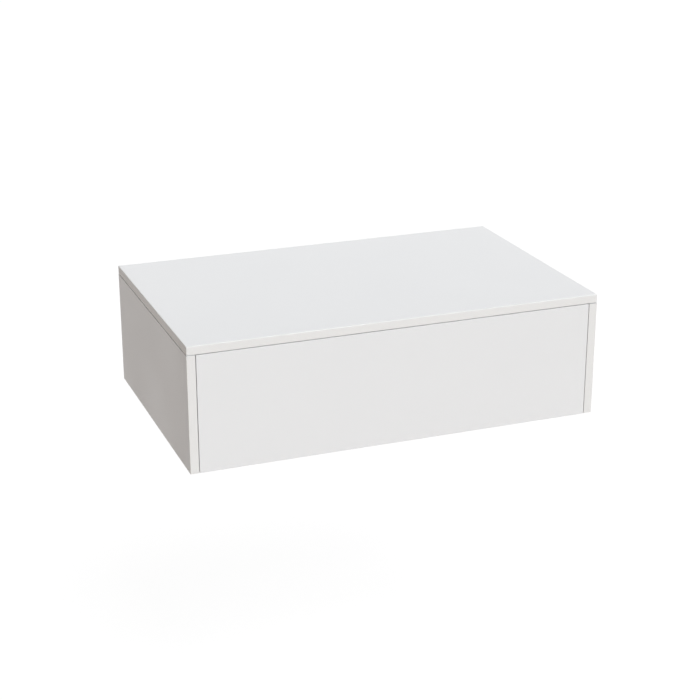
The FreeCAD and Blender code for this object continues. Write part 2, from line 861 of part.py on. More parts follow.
def make_damper(side, name):
    """The soft-close cylinder: a closed housing beside the channel, with its rod in front."""
    low_side = s.runner_gauge + s.damper_side_gap
    high_side = runner_centre - s.runner_width / 2 - s.damper_side_gap
    back = runner_back - s.damper_end_inset
    damper = new_body(f"damper_{name}")
    outline = rectangle(
        (inboard(side, low_side), cavity_low),
        (inboard(side, high_side), cavity_low + s.damper_height),
    )
    add(damper, "XZ_Plane", back - s.damper_length, [outline], s.damper_length)
    front = back - s.damper_length

    def runs_along(middle):
        return front.value + s.edge_ease.value < middle.y < back.value - s.edge_ease.value

    chamfer_edges(damper, s.damper_chamfer, runs_along)
    centre = (inboard(side, (low_side + high_side) / 2), cavity_low + s.damper_height / 2)
    rod = Circle(centre, s.damper_rod)
    add(damper, "XZ_Plane", front, [rod], s.damper_rod_length, -1)


def make_runner_screws():
    screws = new_body("runner_screws")
    places = [(y, s.runner_screw_rise) for y in runner_screw_places]
    for side, _ in SIDES:
        add_wood_screws(screws, side, s.runner_gauge, places)


# Stabiliser


def new_feature(label, shape):
    feature = document.addObject("Part::Feature", label)
    feature.Label = label
    feature.Shape = shape
    feature.Placement = FreeCAD.Placement()
    feature.setExpression("Placement.Base.z", (-screw_line).formula)


def extruded(points, direction):
    wire = Part.makePolygon(points + points[:1])
    return Part.Face(wire).extrude(direction)


def make_rack(side, name):
    """Straight teeth cut as trapezoids, with a gap between two teeth under the closed pinion."""
    module = s.tooth_module.value
    pitch = math.pi * module
    slope = math.tan(math.radians(s.pressure_angle.value))
    tip = pitch_height.value + module
    root = cavity_low.value + s.rack_base.value
    pitch_half = (pitch - s.tooth_backlash.value) / 4
    tip_half = pitch_half - module * slope
    root_half = pitch_half + (pitch_height.value - root) * slope
    front = runner_front.value + s.rack_end_gap.value
    back = runner_back.value - s.rack_end_gap.value
    x = inboard(side, rack_inner).value

    def point(y, z):
        return FreeCAD.Vector(x, y, z)

    points = [point(back, cavity_low.value), point(front, cavity_low.value), point(front, root)]
    first = math.ceil((front + root_half - shaft_place.value) / pitch - 1 / 2)
    last = math.floor((back - root_half - shaft_place.value) / pitch - 1 / 2)
    for tooth in range(first, last + 1):
        centre = shaft_place.value + (tooth + 1 / 2) * pitch
        points.append(point(centre - root_half, root))
        points.append(point(centre - tip_half, tip))
        points.append(point(centre + tip_half, tip))
        points.append(point(centre + root_half, root))
    points.append(point(back, root))
    new_feature(f"rack_{name}", extruded(points, FreeCAD.Vector(-side * s.rack_width.value, 0, 0)))


def make_pinion(side, name):
    """A spur pinion on the shaft, with involute flanks, one tooth pointing down into the rack."""
    module = s.tooth_module.value
    teeth = int(s.pinion_teeth.value)
    angle = math.radians(s.pressure_angle.value)
    pitch_radius = module * teeth / 2
    base_radius = pitch_radius * math.cos(angle)
    tip_radius = pitch_radius + module
    root_radius = pitch_radius - module - s.tooth_root_gap.value
    involute_at_pitch = math.tan(angle) - angle
    half_pitch_angle = (math.pi * module - s.tooth_backlash.value) / (4 * pitch_radius)
    x = inboard(side, rack_inner + (s.rack_width - s.pinion_width) / 2).value
    centre = FreeCAD.Vector(x, shaft_place.value, shaft_height.value)

    def at(radius, turn):
        return centre + FreeCAD.Vector(0, radius * math.sin(turn), -radius * math.cos(turn))

    def flank_turn(radius):
        """How far the flank lies from the tooth's middle, as an angle, at this radius."""
        cosine = min(base_radius / radius, 1)
        roll = math.acos(cosine)
        return half_pitch_angle + involute_at_pitch - (math.tan(roll) - roll)

    step = 2 * math.pi / teeth
    flank_radii = (base_radius, pitch_radius, tip_radius)
    foot = flank_turn(base_radius)
    points = []
    for tooth in range(teeth):
        turn = tooth * step
        points.append(at(root_radius, turn - foot))
        points += [at(radius, turn - flank_turn(radius)) for radius in flank_radii]
        points += [at(radius, turn + flank_turn(radius)) for radius in reversed(flank_radii)]
        points.append(at(root_radius, turn + foot))
    inward = FreeCAD.Vector(-side, 0, 0)
    gear = extruded(points, inward * s.pinion_width.value)
    bore = Part.makeCylinder(s.shaft_diameter.value / 2, s.pinion_width.value, centre, inward)
    new_feature(f"pinion_{name}", gear.cut(bore))


def make_sync_shaft():
    half = half_inner - rack_inner - (s.rack_width - s.pinion_width) / 2
    shaft = new_body("sync_shaft")
    circle = Circle((shaft_place, shaft_height), s.shaft_diameter)
    add(shaft, "YZ_Plane", -half, [circle], half * 2)


def make_shaft_bracket(side, name):
    """A bearing ear under the drawer bottom, just inboard of the pinion."""
    start = rack_inner + (s.rack_width + s.pinion_width) / 2 + s.bracket_gap
    near = inboard(side, start)
    ear = inboard(side, start + s.bracket_ear)
    far = inboard(side, start + s.bracket_length)
    plate = bottom_underside - s.bracket_plate
    low = bottom_underside - s.bracket_drop
    outline = [
        (near, bottom_underside),
        (near, low),
        (ear, low),
        (ear, plate),
        (far, plate),
        (far, bottom_underside),
    ]
    bracket = new_body(f"shaft_bracket_{name}")
    front = shaft_place - s.bracket_depth / 2
    back = front + s.bracket_depth
    add(bracket, "XZ_Plane", front, [outline], s.bracket_depth)
    hole = Circle((shaft_place, shaft_height), s.shaft_diameter + s.bearing_play * 2)
    cut(bracket, "YZ_Plane", near, [hole], s.bracket_ear, -side)
    corner = low.value + s.bracket_plate.value
    ends = (front.value, back.value)

    def at_ear_corner(middle):
        return middle.z < corner and any(abs(middle.y - end) < s.edge_ease.value for end in ends)

    chamfer_edges(bracket, s.bracket_chamfer, at_ear_corner)


# Front couplings


def make_lock_body(side, name):
    """A moulded plate under the drawer bottom, with the lever's pin and a stop in front of it."""
    near = runner_centre + s.runner_width / 2 + s.lock_gap
    low_y = drawer_runner_front
    top = bottom_underside
    plate_low = top - s.lock_plate
    body = new_body(f"lock_body_{name}")
    outline = rectangle(
        (inboard(side, near), low_y),
        (inboard(side, near + s.lock_width), low_y + s.lock_depth),
    )
    add(body, "XY_Plane", plate_low, [outline], s.lock_plate)
    stop = rectangle(
        (inboard(side, near), low_y),
        (inboard(side, near + s.lock_width), low_y + s.lock_stop),
    )
    add(body, "XY_Plane", plate_low, [stop], s.lock_drop, -1)
    pin = Circle((inboard(side, s.lock_pin_inboard), pin_place), s.lock_pin)
    add(body, "XY_Plane", plate_low, [pin], s.lock_drop, -1)


def make_lock_lever(side, name):
    """A lever on the pin: its tooth reaches through the drawer member's slot, its tab is squeezed."""
    top = bottom_underside - s.lock_plate - s.lever_gap
    body = new_body(f"lock_lever_{name}")
    pin = s.lock_pin_inboard
    centre = (inboard(side, pin), pin_place)
    eye = Circle(centre, s.lever_eye)
    add(body, "XY_Plane", top - s.lever_thickness, [eye], s.lever_thickness)
    tip = runner_centre + s.runner_width / 2 - s.lever_tooth_grip
    tooth = pin_place + s.lever_reach
    half_tooth = s.lever_tooth / 2
    half_neck = s.lever_neck / 2
    neck = tip + s.lever_tooth + s.lever_tooth_grip
    arm = [
        (pin - half_neck, pin_place),
        (pin + half_neck, pin_place),
        (neck + half_neck, tooth + half_tooth),
        (tip, tooth + half_tooth),
        (tip, tooth - half_tooth),
        (neck - half_neck, tooth - half_tooth),
    ]
    tab = [
        (pin - half_neck, pin_place),
        (pin + half_neck, pin_place),
        (pin + half_neck + half_tooth, pin_place - s.lever_tab),
        (pin + half_neck, pin_place - s.lever_tab),
    ]
    for outline in (arm, tab):
        shape = [(inboard(side, across), y) for across, y in outline]
        add(body, "XY_Plane", top - s.lever_thickness, [shape], s.lever_thickness)
    bore = Circle(centre, s.lock_pin + s.bearing_play * 2)
    cut(body, "XY_Plane", top - s.lever_thickness, [bore], s.lever_thickness, 1)


# The whole unit

make_top_board()
make_bottom_board()
make_back_panel()
make_wood_dowels()
make_wall_rail()
make_hanger_screws()
make_drawer_front()
make_drawer_inner_front()
make_drawer_back()
make_drawer_bottom()
make_front_screws()
make_runner_screws()
make_sync_shaft()
for side, name in SIDES:
    make_side_panel(side, name)
    make_hanger_hook(side, name)
    make_hanger_carrier(side, name)
    make_hanger_housing(side, name)
    make_height_screw(side, name)
    make_depth_screw(side, name)
    make_drawer_side(side, name)
    make_runner_cabinet(side, name)
    make_runner_middle(side, name)
    make_runner_drawer(side, name)
    make_carriage(side, name, "lower", cavity_low, 1)
    make_carriage(side, name, "upper", cavity_high, -1)
    make_damper(side, name)
    make_rack(side, name)
    make_pinion(side, name)
    make_shaft_bracket(side, name)
    make_lock_body(side, name)
    make_lock_lever(side, name)
document.recompute()

pieces = [item for item in document.Objects if item.TypeId in ("PartDesign::Body", "Part::Feature")]
for item in document.Objects:
    if "Invalid" in item.State or "Error" in item.State:
        raise RuntimeError(f"{item.Label} failed: {item.State}")
for piece in pieces:
    if piece.Shape.isNull() or not piece.Shape.isValid():
        raise RuntimeError(f"{piece.Label} has no valid shape")

os.makedirs("parts", exist_ok=True)
for piece in pieces:
    piece.Shape.exportStep(f"parts/{piece.Label}.step")
print(len(pieces), "sub-parts written")
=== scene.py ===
"""Dresses the wall-hung drawer unit: lacquered case, drawer box, wall hangers and runners.

Everything is in metres, in the unit's own frame: X runs across the unit, Y points into the wall
and Z is up. The wall's face is Y = 0, and the front of the unit is at negative Y.
"""

import json
import math

import bmesh
import bpy
from mathutils import Matrix, Vector

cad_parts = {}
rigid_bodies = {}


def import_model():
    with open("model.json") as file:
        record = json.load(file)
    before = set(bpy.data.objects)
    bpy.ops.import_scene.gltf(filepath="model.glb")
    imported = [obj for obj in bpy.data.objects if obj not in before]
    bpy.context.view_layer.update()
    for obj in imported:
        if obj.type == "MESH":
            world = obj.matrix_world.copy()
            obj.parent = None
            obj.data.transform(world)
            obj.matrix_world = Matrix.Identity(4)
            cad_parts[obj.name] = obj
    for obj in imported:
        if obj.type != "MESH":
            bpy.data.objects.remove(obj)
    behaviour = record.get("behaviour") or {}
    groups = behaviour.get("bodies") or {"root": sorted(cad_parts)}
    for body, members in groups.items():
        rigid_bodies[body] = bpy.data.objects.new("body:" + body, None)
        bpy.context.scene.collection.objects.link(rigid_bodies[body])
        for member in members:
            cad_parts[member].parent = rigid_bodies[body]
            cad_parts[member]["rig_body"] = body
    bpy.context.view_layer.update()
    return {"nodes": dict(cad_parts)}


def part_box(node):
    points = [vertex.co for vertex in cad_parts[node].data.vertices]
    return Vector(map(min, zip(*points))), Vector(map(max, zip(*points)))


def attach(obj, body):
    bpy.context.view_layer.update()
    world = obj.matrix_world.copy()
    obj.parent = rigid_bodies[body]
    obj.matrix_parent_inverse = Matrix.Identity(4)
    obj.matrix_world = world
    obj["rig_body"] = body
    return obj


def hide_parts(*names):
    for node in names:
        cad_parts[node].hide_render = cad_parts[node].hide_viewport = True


bl_info = {
    "name": "Wall-hung drawer unit",
    "version": (1, 0, 0),
    "blender": (4, 5, 0),
    "location": "3D View > Sidebar > Drawer unit",
    "description": "Dresses a lacquered wall-hung drawer unit with its hangers and runners",
    "category": "Object",
}

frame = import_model()

MM = 0.001
SIDES = ("left", "right")
# Of the camera, in millimetres as Blender counts it
SENSOR_WIDTH = 36


# Sizes and colours


def linear(hex_colour):
    """An sRGB hex colour as linear red, green, blue and alpha."""
    channels = [int(hex_colour[index : index + 2], 16) / 255 for index in (1, 3, 5)]
    dark_end = 0.04045
    return [c / 12.92 if c <= dark_end else ((c + 0.055) / 1.055) ** 2.4 for c in channels] + [1]


def length(label, note, millimetres):
    """A length that a user would change, given here in millimetres."""
    return bpy.props.FloatProperty(
        name=label, description=note, default=millimetres * MM, precision=5, unit="LENGTH"
    )


def colour(label, note, hex_colour):
    """A colour that a user would change, given here as sRGB hex."""
    return bpy.props.FloatVectorProperty(
        name=label, description=note, default=linear(hex_colour), size=4, subtype="COLOR"
    )


def angle(label, note, degrees):
    """An angle that a user would change, given here in degrees."""
    return bpy.props.FloatProperty(
        name=label, description=note, default=math.radians(degrees), subtype="ANGLE"
    )


def light(label, note, level):
    """The strength of a light."""
    return bpy.props.FloatProperty(name=label, description=note, default=level, min=0)


class DRAWERUNIT_PG_boards(bpy.types.PropertyGroup):
    top_round: length("Top edge rounding", "Radius of the top's upper and upright edges", 1.5)
    edge_round: length("Edge rounding", "Radius of the lacquered boards' other edges", 0.4)
    edge_ease: length("Box edge rounding", "Radius of the drawer box's edges", 0.6)
    shadow_depth: length("Shadow line depth", "How far the line under the top is cut in", 3)
    groove_depth: length("Back groove depth", "Depth of the groove for the back panel", 5.1)
    grip_rise: length("Grip height", "Height of the bevel behind the front's lower edge", 18)
    grip_depth: length("Grip depth", "Depth of that bevel at the underside", 8)
    band_thickness: length("Band thickness", "Thickness of the edge bands", 1)
    dowel_chamfer: length("Dowel chamfer", "Chamfer at each end of a dowel", 1)
    flute_depth: length("Flute depth", "Depth of the flutes along a dowel", 0.35)
    flutes: bpy.props.IntProperty(
        name="Flutes", description="Number of flutes round a dowel", default=18
    )


class DRAWERUNIT_PG_hardware(bpy.types.PropertyGroup):
    sheet_round: length("Sheet edge rounding", "Rounding of bent and cut sheet steel", 0.35)
    moulded_round: length("Moulded edge rounding", "Rounding of moulded and cast edges", 0.5)
    lever_round: length("Lever edge rounding", "Rounding of the couplings' levers", 0.4)
    fine_round: length("Fine edge rounding", "Rounding of teeth and thin cages", 0.15)
    wood_head: length("Wood screw head", "Head height of the wood screws", 2)
    wood_shank: length("Wood screw shank", "Diameter of the wood screws' thread", 4)
    wood_pitch: length("Wood screw pitch", "Thread pitch of the wood screws", 1.8)
    wood_depth: length("Wood thread depth", "Depth of the wood screws' thread", 0.6)
    wood_tip: length("Wood screw tip", "Length over which a wood screw narrows", 3)
    adjuster_head: length("Adjuster head", "Head height of the adjusters", 5)
    adjuster_shank: length("Adjuster shank", "Diameter of the adjusters' thread", 5)
    adjuster_pitch: length("Adjuster pitch", "Travel of an adjuster in one turn", 1)
    adjuster_depth: length("Adjuster thread depth", "Depth of the adjusters' thread", 0.5)
    recess_reach: length("Recess reach", "Half the length of a cross recess's bars", 2.3)
    recess_width: length("Recess width", "Width of a cross recess's bars", 0.9)
    small_head: length("Small screw head", "Head diameter of the small screws", 5)
    small_rise: length("Small screw head height", "Head height of the small screws", 1.6)
    small_shank: length("Small screw shank", "Diameter of the small screws' thread", 3)
    small_length: length("Small screw length", "Thread length of the small screws", 6)
    lock_plate: length("Coupling plate", "Thickness of the couplings' plates", 3)
    bracket_plate: length("Bracket plate", "Thickness of the shaft brackets' plates", 2)


class DRAWERUNIT_PG_finishes(bpy.types.PropertyGroup):
    lacquer: colour("Lacquer", "Satin lacquer of the front and the case", "#E8E9EA")
    band: colour("Edge band", "Bands on the visible edges", "#E8E8E7")
    melamine: colour("Melamine", "Surface of the drawer box and the back panel", "#E3E3E1")
    zinc: colour("Zinc plating", "Plated steel of the runners, rail and screws", "#C6C9CD")
    casting: colour("Zinc casting", "Hooks and carriers of the hangers", "#A9ACAF")
    aluminium: colour("Aluminium", "Anodised shaft", "#C9CBCD")
    nylon: colour("Grey nylon", "Moulded cages, dampers and couplings", "#6B6F73")
    acetal: colour("White acetal", "Racks, pinions and rollers", "#E6E4DE")
    beech: colour("Beech", "Dowels", "#C9A67A")


class DRAWERUNIT_PG_stage(bpy.types.PropertyGroup):
    floor_drop: length("Floor drop", "Floor below the underside of the unit", 550)
    floor_reach: length("Floor reach", "Half the width of the floor", 30000)
    floor_colour: colour("Floor", "Pale floor, a touch warm", "#D5C6BA")
    seen_colour: colour("Seen floor", "Floor as the camera sees it, in plain grey", "#CBCBCB")
    key_colour: colour("Key colour", "Colour of the key light, a touch cool", "#F5FBFF")
    other_colour: colour("Other colour", "Colour of the rim and the overhead light", "#FFFBF9")
    ambient: light("Ambient", "Strength of the light from all round", 0.055)
    key_strength: light("Key light", "Strength of the light from the front right", 2.56)
    rim_strength: light("Rim light", "Strength of the light from behind", 0.54)
    overhead_strength: light("Overhead light", "Strength of the light from above", 1.18)
    wide_spread: angle("Wide spread", "Angle that the key and the rim light fill", 80)
    narrow_spread: angle("Narrow spread", "Angle that the overhead light fills", 30)
    camera_place: bpy.props.FloatVectorProperty(
        name="Camera place",
        description="Where the camera stands",
        default=(-1.06284, -3.01158, 1.03491),
        subtype="TRANSLATION",
    )
    camera_turn: bpy.props.FloatVectorProperty(
        name="Camera turn",
        description="How the camera is turned",
        default=[math.radians(turn) for turn in (69.605, 0, -21.001)],
        subtype="EULER",
    )
    focal_length: bpy.props.FloatProperty(
        name="Focal length", description="On a 36 mm wide sensor", default=82.63, unit="CAMERA"
    )


GROUPS = {
    "drawer_unit_boards": DRAWERUNIT_PG_boards,
    "drawer_unit_hardware": DRAWERUNIT_PG_hardware,
    "drawer_unit_finishes": DRAWERUNIT_PG_finishes,
    "drawer_unit_stage": DRAWERUNIT_PG_stage,
}


# The settings of each group, as they stand in the scene


def boards():
    return bpy.context.scene.drawer_unit_boards


def hardware():
    return bpy.context.scene.drawer_unit_hardware


def finishes():
    return bpy.context.scene.drawer_unit_finishes


def stage():
    return bpy.context.scene.drawer_unit_stage


# Materials

# The Mix node's factor, colour inputs and colour output by place, as their names are not unique
MIX_FACTOR, MIX_A, MIX_B, MIX_RESULT = 0, 6, 7, 2
# Where most of a noise texture's values lie
NOISE_SPAN = {"From Min": 0.3, "From Max": 0.7}


def add_node(tree, kind, settings=(), links=()):
    """Adds a node: settings go to its inputs or to its own properties, links to its inputs."""
    node = tree.nodes.new(kind)
    for name, value in dict(settings).items():
        if isinstance(name, int) or name in node.inputs:
            node.inputs[name].default_value = value
        else:
            setattr(node, name, value)
    for name, socket in dict(links).items():
        tree.links.new(socket, node.inputs[name])
    return node


def made_once(build):
    """Makes the material when a piece first asks for it. The build function returns its shader."""

    def get():
        material = bpy.data.materials.get(build.__name__)
        if material is None:
            material = bpy.data.materials.new(build.__name__)
            material.use_nodes = True
            tree = material.node_tree
            tree.nodes.clear()
            shader = build(tree)
            add_node(tree, "ShaderNodeOutputMaterial", links={"Surface": shader.outputs[0]})
        return material

    return get


def per_metre(millimetres):
    """A texture's scale, for a pattern of this real size in object coordinates."""
    return 1 / (millimetres * MM)


def shade(tint, share):
    """A colour made lighter or darker by a share of itself."""
    return [channel * (1 + share) for channel in tint[:3]] + [1]


def on_surface(tree, stretch=(1, 1, 1)):
    """Object coordinates in metres; the stretch draws a pattern out along each axis."""
    place = add_node(tree, "ShaderNodeTexCoord").outputs["Object"]
    scale = [1 / share for share in stretch]
    return add_node(tree, "ShaderNodeMapping", {"Scale": scale}, {"Vector": place}).outputs[0]


# An edge mask: real wear on the metals, nylon and melamine, and a painted highlight on the lacquer
# and edge band
def edge_wear_and_highlight(tree, reach):
    """1 along the edges, within this many millimetres of them, and 0 on open faces."""
    turned_normal = 0.85
    softened = add_node(tree, "ShaderNodeBevel", {"samples": 4, "Radius": reach * MM})
    face = add_node(tree, "ShaderNodeNewGeometry")
    match = add_node(
        tree,
        "ShaderNodeVectorMath",
        {"operation": "DOT_PRODUCT"},
        {0: softened.outputs["Normal"], 1: face.outputs["Normal"]},
    )
    return add_node(
        tree,
        "ShaderNodeMapRange",
        {"From Min": 1, "From Max": turned_normal},
        {"Value": match.outputs["Value"]},
    ).outputs["Result"]


def smooth_coat(tree, tint, sheen, skin_size, stretch, skin_height):
    """What lacquer and edge band share: a slow drift of tone and sheen, a fine skin, and painted
    highlights on the edges.

    Sizes are in millimetres, and the stretch draws the skin out along each axis.
    """
    drift = 0.03
    cloud = add_node(
        tree,
        "ShaderNodeTexNoise",
        {"Scale": per_metre(110), "Detail": 3},
        {"Vector": on_surface(tree)},
    ).outputs["Fac"]
    tone = add_node(
        tree,
        "ShaderNodeMix",
        {"data_type": "RGBA", MIX_A: shade(tint, -0.008), MIX_B: shade(tint, 0.008)},
        {MIX_FACTOR: cloud},
    )
    # Painted highlight: the edges are painted lighter, where their rounding would catch the light
    rubbed = add_node(
        tree,
        "ShaderNodeMix",
        {"data_type": "RGBA", MIX_B: shade(tint, 0.03)},
        {MIX_FACTOR: edge_wear_and_highlight(tree, 0.8), MIX_A: tone.outputs[MIX_RESULT]},
    )
    gloss = add_node(
        tree,
        "ShaderNodeMapRange",
        {**NOISE_SPAN, "To Min": sheen - drift, "To Max": sheen + drift},
        {"Value": cloud},
    )
    skin = add_node(
        tree,
        "ShaderNodeTexNoise",
        {"Scale": per_metre(skin_size), "Detail": 2},
        {"Vector": on_surface(tree, stretch)},
    )
    bump = add_node(
        tree,
        "ShaderNodeBump",
        {"Distance": skin_height * MM},
        {"Height": skin.outputs["Fac"]},
    )
    return add_node(
        tree,
        "ShaderNodeBsdfPrincipled",
        {"IOR": 1.5},
        {
            "Base Color": rubbed.outputs[MIX_RESULT],
            "Roughness": gloss.outputs["Result"],
            "Normal": bump.outputs["Normal"],
        },
    )


@made_once
def satin_lacquer(tree):
    """Sprayed polyurethane lacquer on fibreboard: even and silky, with a faint orange peel.

    The peel's lumps are 1 mm across, and are drawn 2 mm across so that they show.
    """
    return smooth_coat(
        tree, finishes().lacquer, sheen=0.34, skin_size=2, stretch=(1, 1, 1), skin_height=0.02
    )


def scraped_band(tree, stretch):
    """What both edge bands share; the stretch lays the scraper's lines along the edges."""
    return smooth_coat(
        tree, finishes().band, sheen=0.4, skin_size=0.8, stretch=stretch, skin_height=0.012
    )


@made_once
def abs_edge_band(tree):
    """Milled ABS tape, a touch warmer than the lacquer, with fine lines left by the scraper.

    The lines run along the edge 0.2 mm apart, and are drawn 0.8 mm apart so that they show.
    """
    return scraped_band(tree, (40, 40, 1))


@made_once
def upright_abs_edge_band(tree):
    """The same tape on the sides, where its lines run up the front edge and back underneath."""
    return scraped_band(tree, (1, 40, 40))


def melamine_skin(tree, shiny):
    """Pearl-grained melamine; where shiny is 1 it turns into a smooth band of the same colour.

    The press plate's grains are 0.5 mm across, and are drawn 1.2 mm across so that they show.
    """
    tint = finishes().melamine
    grain = add_node(
        tree,
        "ShaderNodeTexVoronoi",
        {"Scale": per_metre(1.2), "feature": "SMOOTH_F1"},
        {"Vector": on_surface(tree)},
    )
    cloud = add_node(
        tree,
        "ShaderNodeTexNoise",
        {"Scale": per_metre(60), "Detail": 2},
        {"Vector": on_surface(tree)},
    )
    tone = add_node(
        tree,
        "ShaderNodeMix",
        {"data_type": "RGBA", MIX_A: shade(tint, -0.012), MIX_B: shade(tint, 0.008)},
        {MIX_FACTOR: cloud.outputs["Fac"]},
    )
    rubbed = add_node(
        tree,
        "ShaderNodeMix",
        {"data_type": "RGBA", MIX_B: shade(finishes().band, 0.02)},
        {MIX_FACTOR: shiny, MIX_A: tone.outputs[MIX_RESULT]},
    )
    gloss = add_node(
        tree, "ShaderNodeMapRange", {"To Min": 0.5, "To Max": 0.36}, {"Value": shiny}
    )
    bump = add_node(
        tree,
        "ShaderNodeBump",
        {"Distance": 0.08 * MM},
        {"Height": grain.outputs["Distance"]},
    )
    return add_node(
        tree,
        "ShaderNodeBsdfPrincipled",
        {"IOR": 1.5},
        {
            "Base Color": rubbed.outputs[MIX_RESULT],
            "Roughness": gloss.outputs["Result"],
            "Normal": bump.outputs["Normal"],
        },
    )


@made_once
def pearl_melamine(tree):
    """Melamine paper pressed on chipboard with a pearl plate: matt, with rubbed edges."""
    return melamine_skin(tree, edge_wear_and_highlight(tree, 0.6))


@made_once
def banded_melamine(tree):
    """The same board with a smooth ABS band along its upper edge, as a drawer box has."""
    place = add_node(tree, "ShaderNodeTexCoord")
    height = add_node(tree, "ShaderNodeSeparateXYZ", links={0: place.outputs["Object"]})
    band_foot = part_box("drawer_side_left")[1].z - boards().band_thickness
    on_band = add_node(
        tree,
        "ShaderNodeMath",
        {"operation": "GREATER_THAN", 1: band_foot},
        {0: height.outputs["Z"]},
    )
    return melamine_skin(tree, on_band.outputs[0])


def bare_metal(tree, tint, patch, lines, sheen, height):
    """What the metals share: tone in clouds, fine lines or pits, and edges rubbed bright.

    Sizes are in millimetres. The lines are a size and how far they are drawn out on each axis.
    """
    size, stretch = lines
    cloud = add_node(
        tree,
        "ShaderNodeTexNoise",
        {"Scale": per_metre(patch), "Detail": 3},
        {"Vector": on_surface(tree)},
    )
    tone = add_node(
        tree,
        "ShaderNodeMix",
        {"data_type": "RGBA", MIX_A: shade(tint, -0.09), MIX_B: shade(tint, 0.05)},
        {MIX_FACTOR: cloud.outputs["Fac"]},
    )
    edge = edge_wear_and_highlight(tree, 0.4)
    bright = add_node(
        tree,
        "ShaderNodeMix",
        {"data_type": "RGBA", MIX_B: shade(tint, 0.18)},
        {MIX_FACTOR: edge, MIX_A: tone.outputs[MIX_RESULT]},
    )
    marks = add_node(
        tree,
        "ShaderNodeTexNoise",
        {"Scale": per_metre(size), "Detail": 2},
        {"Vector": on_surface(tree, stretch)},
    ).outputs["Fac"]
    low, high = sheen
    gloss = add_node(
        tree,
        "ShaderNodeMapRange",
        {**NOISE_SPAN, "To Min": low, "To Max": high},
        {"Value": marks},
    )
    bump = add_node(tree, "ShaderNodeBump", {"Distance": height * MM}, {"Height": marks})
    return add_node(
        tree,
        "ShaderNodeBsdfPrincipled",
        {"Metallic": 1},
        {
            "Base Color": bright.outputs[MIX_RESULT],
            "Roughness": gloss.outputs["Result"],
            "Normal": bump.outputs["Normal"],
        },
    )


@made_once
def zinc_plated_steel(tree):
    """Cold-rolled strip, bright zinc plated: bluish, with soft clouds and rolling lines.

    The lines are 0.2 mm apart, and are drawn 0.5 mm apart so that they show.
    """
    lines = (0.5, (16, 16, 1))
    tint = finishes().zinc
    return bare_metal(tree, tint, patch=14, lines=lines, sheen=(0.26, 0.38), height=0.003)


@made_once
def zinc_casting(tree):
    """Pressure die-cast zinc, tumbled: an even matt grey with shallow pits 0.6 mm across."""
    pits = (0.6, (1, 1, 1))
    tint = finishes().casting
    return bare_metal(tree, tint, patch=5, lines=pits, sheen=(0.42, 0.58), height=0.02)


@made_once
def anodised_aluminium(tree):
    """Drawn and clear-anodised bar: satin, with die lines along its length.

    The lines are 0.1 mm apart, and are drawn 0.4 mm apart so that they show.
    """
    lines = (0.4, (80, 1, 1))
    tint = finishes().aluminium
    return bare_metal(tree, tint, patch=9, lines=lines, sheen=(0.3, 0.4), height=0.003)


@made_once
def glass_filled_nylon(tree):
    """Injection-moulded nylon with glass fibre: grey, matt and finely spark-eroded.

    The eroded texture is 0.2 mm across, and is drawn 0.5 mm across so that it shows.
    """
    tint = finishes().nylon
    flow = add_node(
        tree,
        "ShaderNodeTexNoise",
        {"Scale": per_metre(6), "Detail": 3, "Distortion": 1},
        {"Vector": on_surface(tree)},
    )
    tone = add_node(
        tree,
        "ShaderNodeMix",
        {"data_type": "RGBA", MIX_A: shade(tint, -0.08), MIX_B: shade(tint, 0.08)},
        {MIX_FACTOR: flow.outputs["Fac"]},
    )
    # Glass fibre shows pale where an edge has rubbed
    pale = add_node(
        tree,
        "ShaderNodeMix",
        {"data_type": "RGBA", MIX_B: shade(tint, 0.6)},
        {MIX_FACTOR: edge_wear_and_highlight(tree, 0.3), MIX_A: tone.outputs[MIX_RESULT]},
    )
    eroded = add_node(
        tree,
        "ShaderNodeTexNoise",
        {"Scale": per_metre(0.5), "Detail": 2},
        {"Vector": on_surface(tree)},
    ).outputs["Fac"]
    gloss = add_node(
        tree,
        "ShaderNodeMapRange",
        {**NOISE_SPAN, "To Min": 0.46, "To Max": 0.62},
        {"Value": eroded},
    )
    bump = add_node(tree, "ShaderNodeBump", {"Distance": 0.02 * MM}, {"Height": eroded})
    return add_node(
        tree,
        "ShaderNodeBsdfPrincipled",
        {"IOR": 1.53},
        {
            "Base Color": pale.outputs[MIX_RESULT],
            "Roughness": gloss.outputs["Result"],
            "Normal": bump.outputs["Normal"],
        },
    )


@made_once
def white_acetal(tree):
    """Moulded acetal: waxy off-white and slippery, with slow sink marks 4 mm across."""
    tint = finishes().acetal
    sink = add_node(
        tree,
        "ShaderNodeTexNoise",
        {"Scale": per_metre(4), "Detail": 1},
        {"Vector": on_surface(tree)},
    ).outputs["Fac"]
    tone = add_node(
        tree,
        "ShaderNodeMix",
        {"data_type": "RGBA", MIX_A: shade(tint, -0.03), MIX_B: shade(tint, 0.02)},
        {MIX_FACTOR: sink},
    )
    gloss = add_node(
        tree,
        "ShaderNodeMapRange",
        {**NOISE_SPAN, "To Min": 0.28, "To Max": 0.36},
        {"Value": sink},
    )
    bump = add_node(tree, "ShaderNodeBump", {"Distance": 0.02 * MM}, {"Height": sink})
    return add_node(
        tree,
        "ShaderNodeBsdfPrincipled",
        {"IOR": 1.48, "Subsurface Weight": 0.1, "Subsurface Scale": 1 * MM},
        {
            "Base Color": tone.outputs[MIX_RESULT],
            "Roughness": gloss.outputs["Result"],
            "Normal": bump.outputs["Normal"],
        },
    )


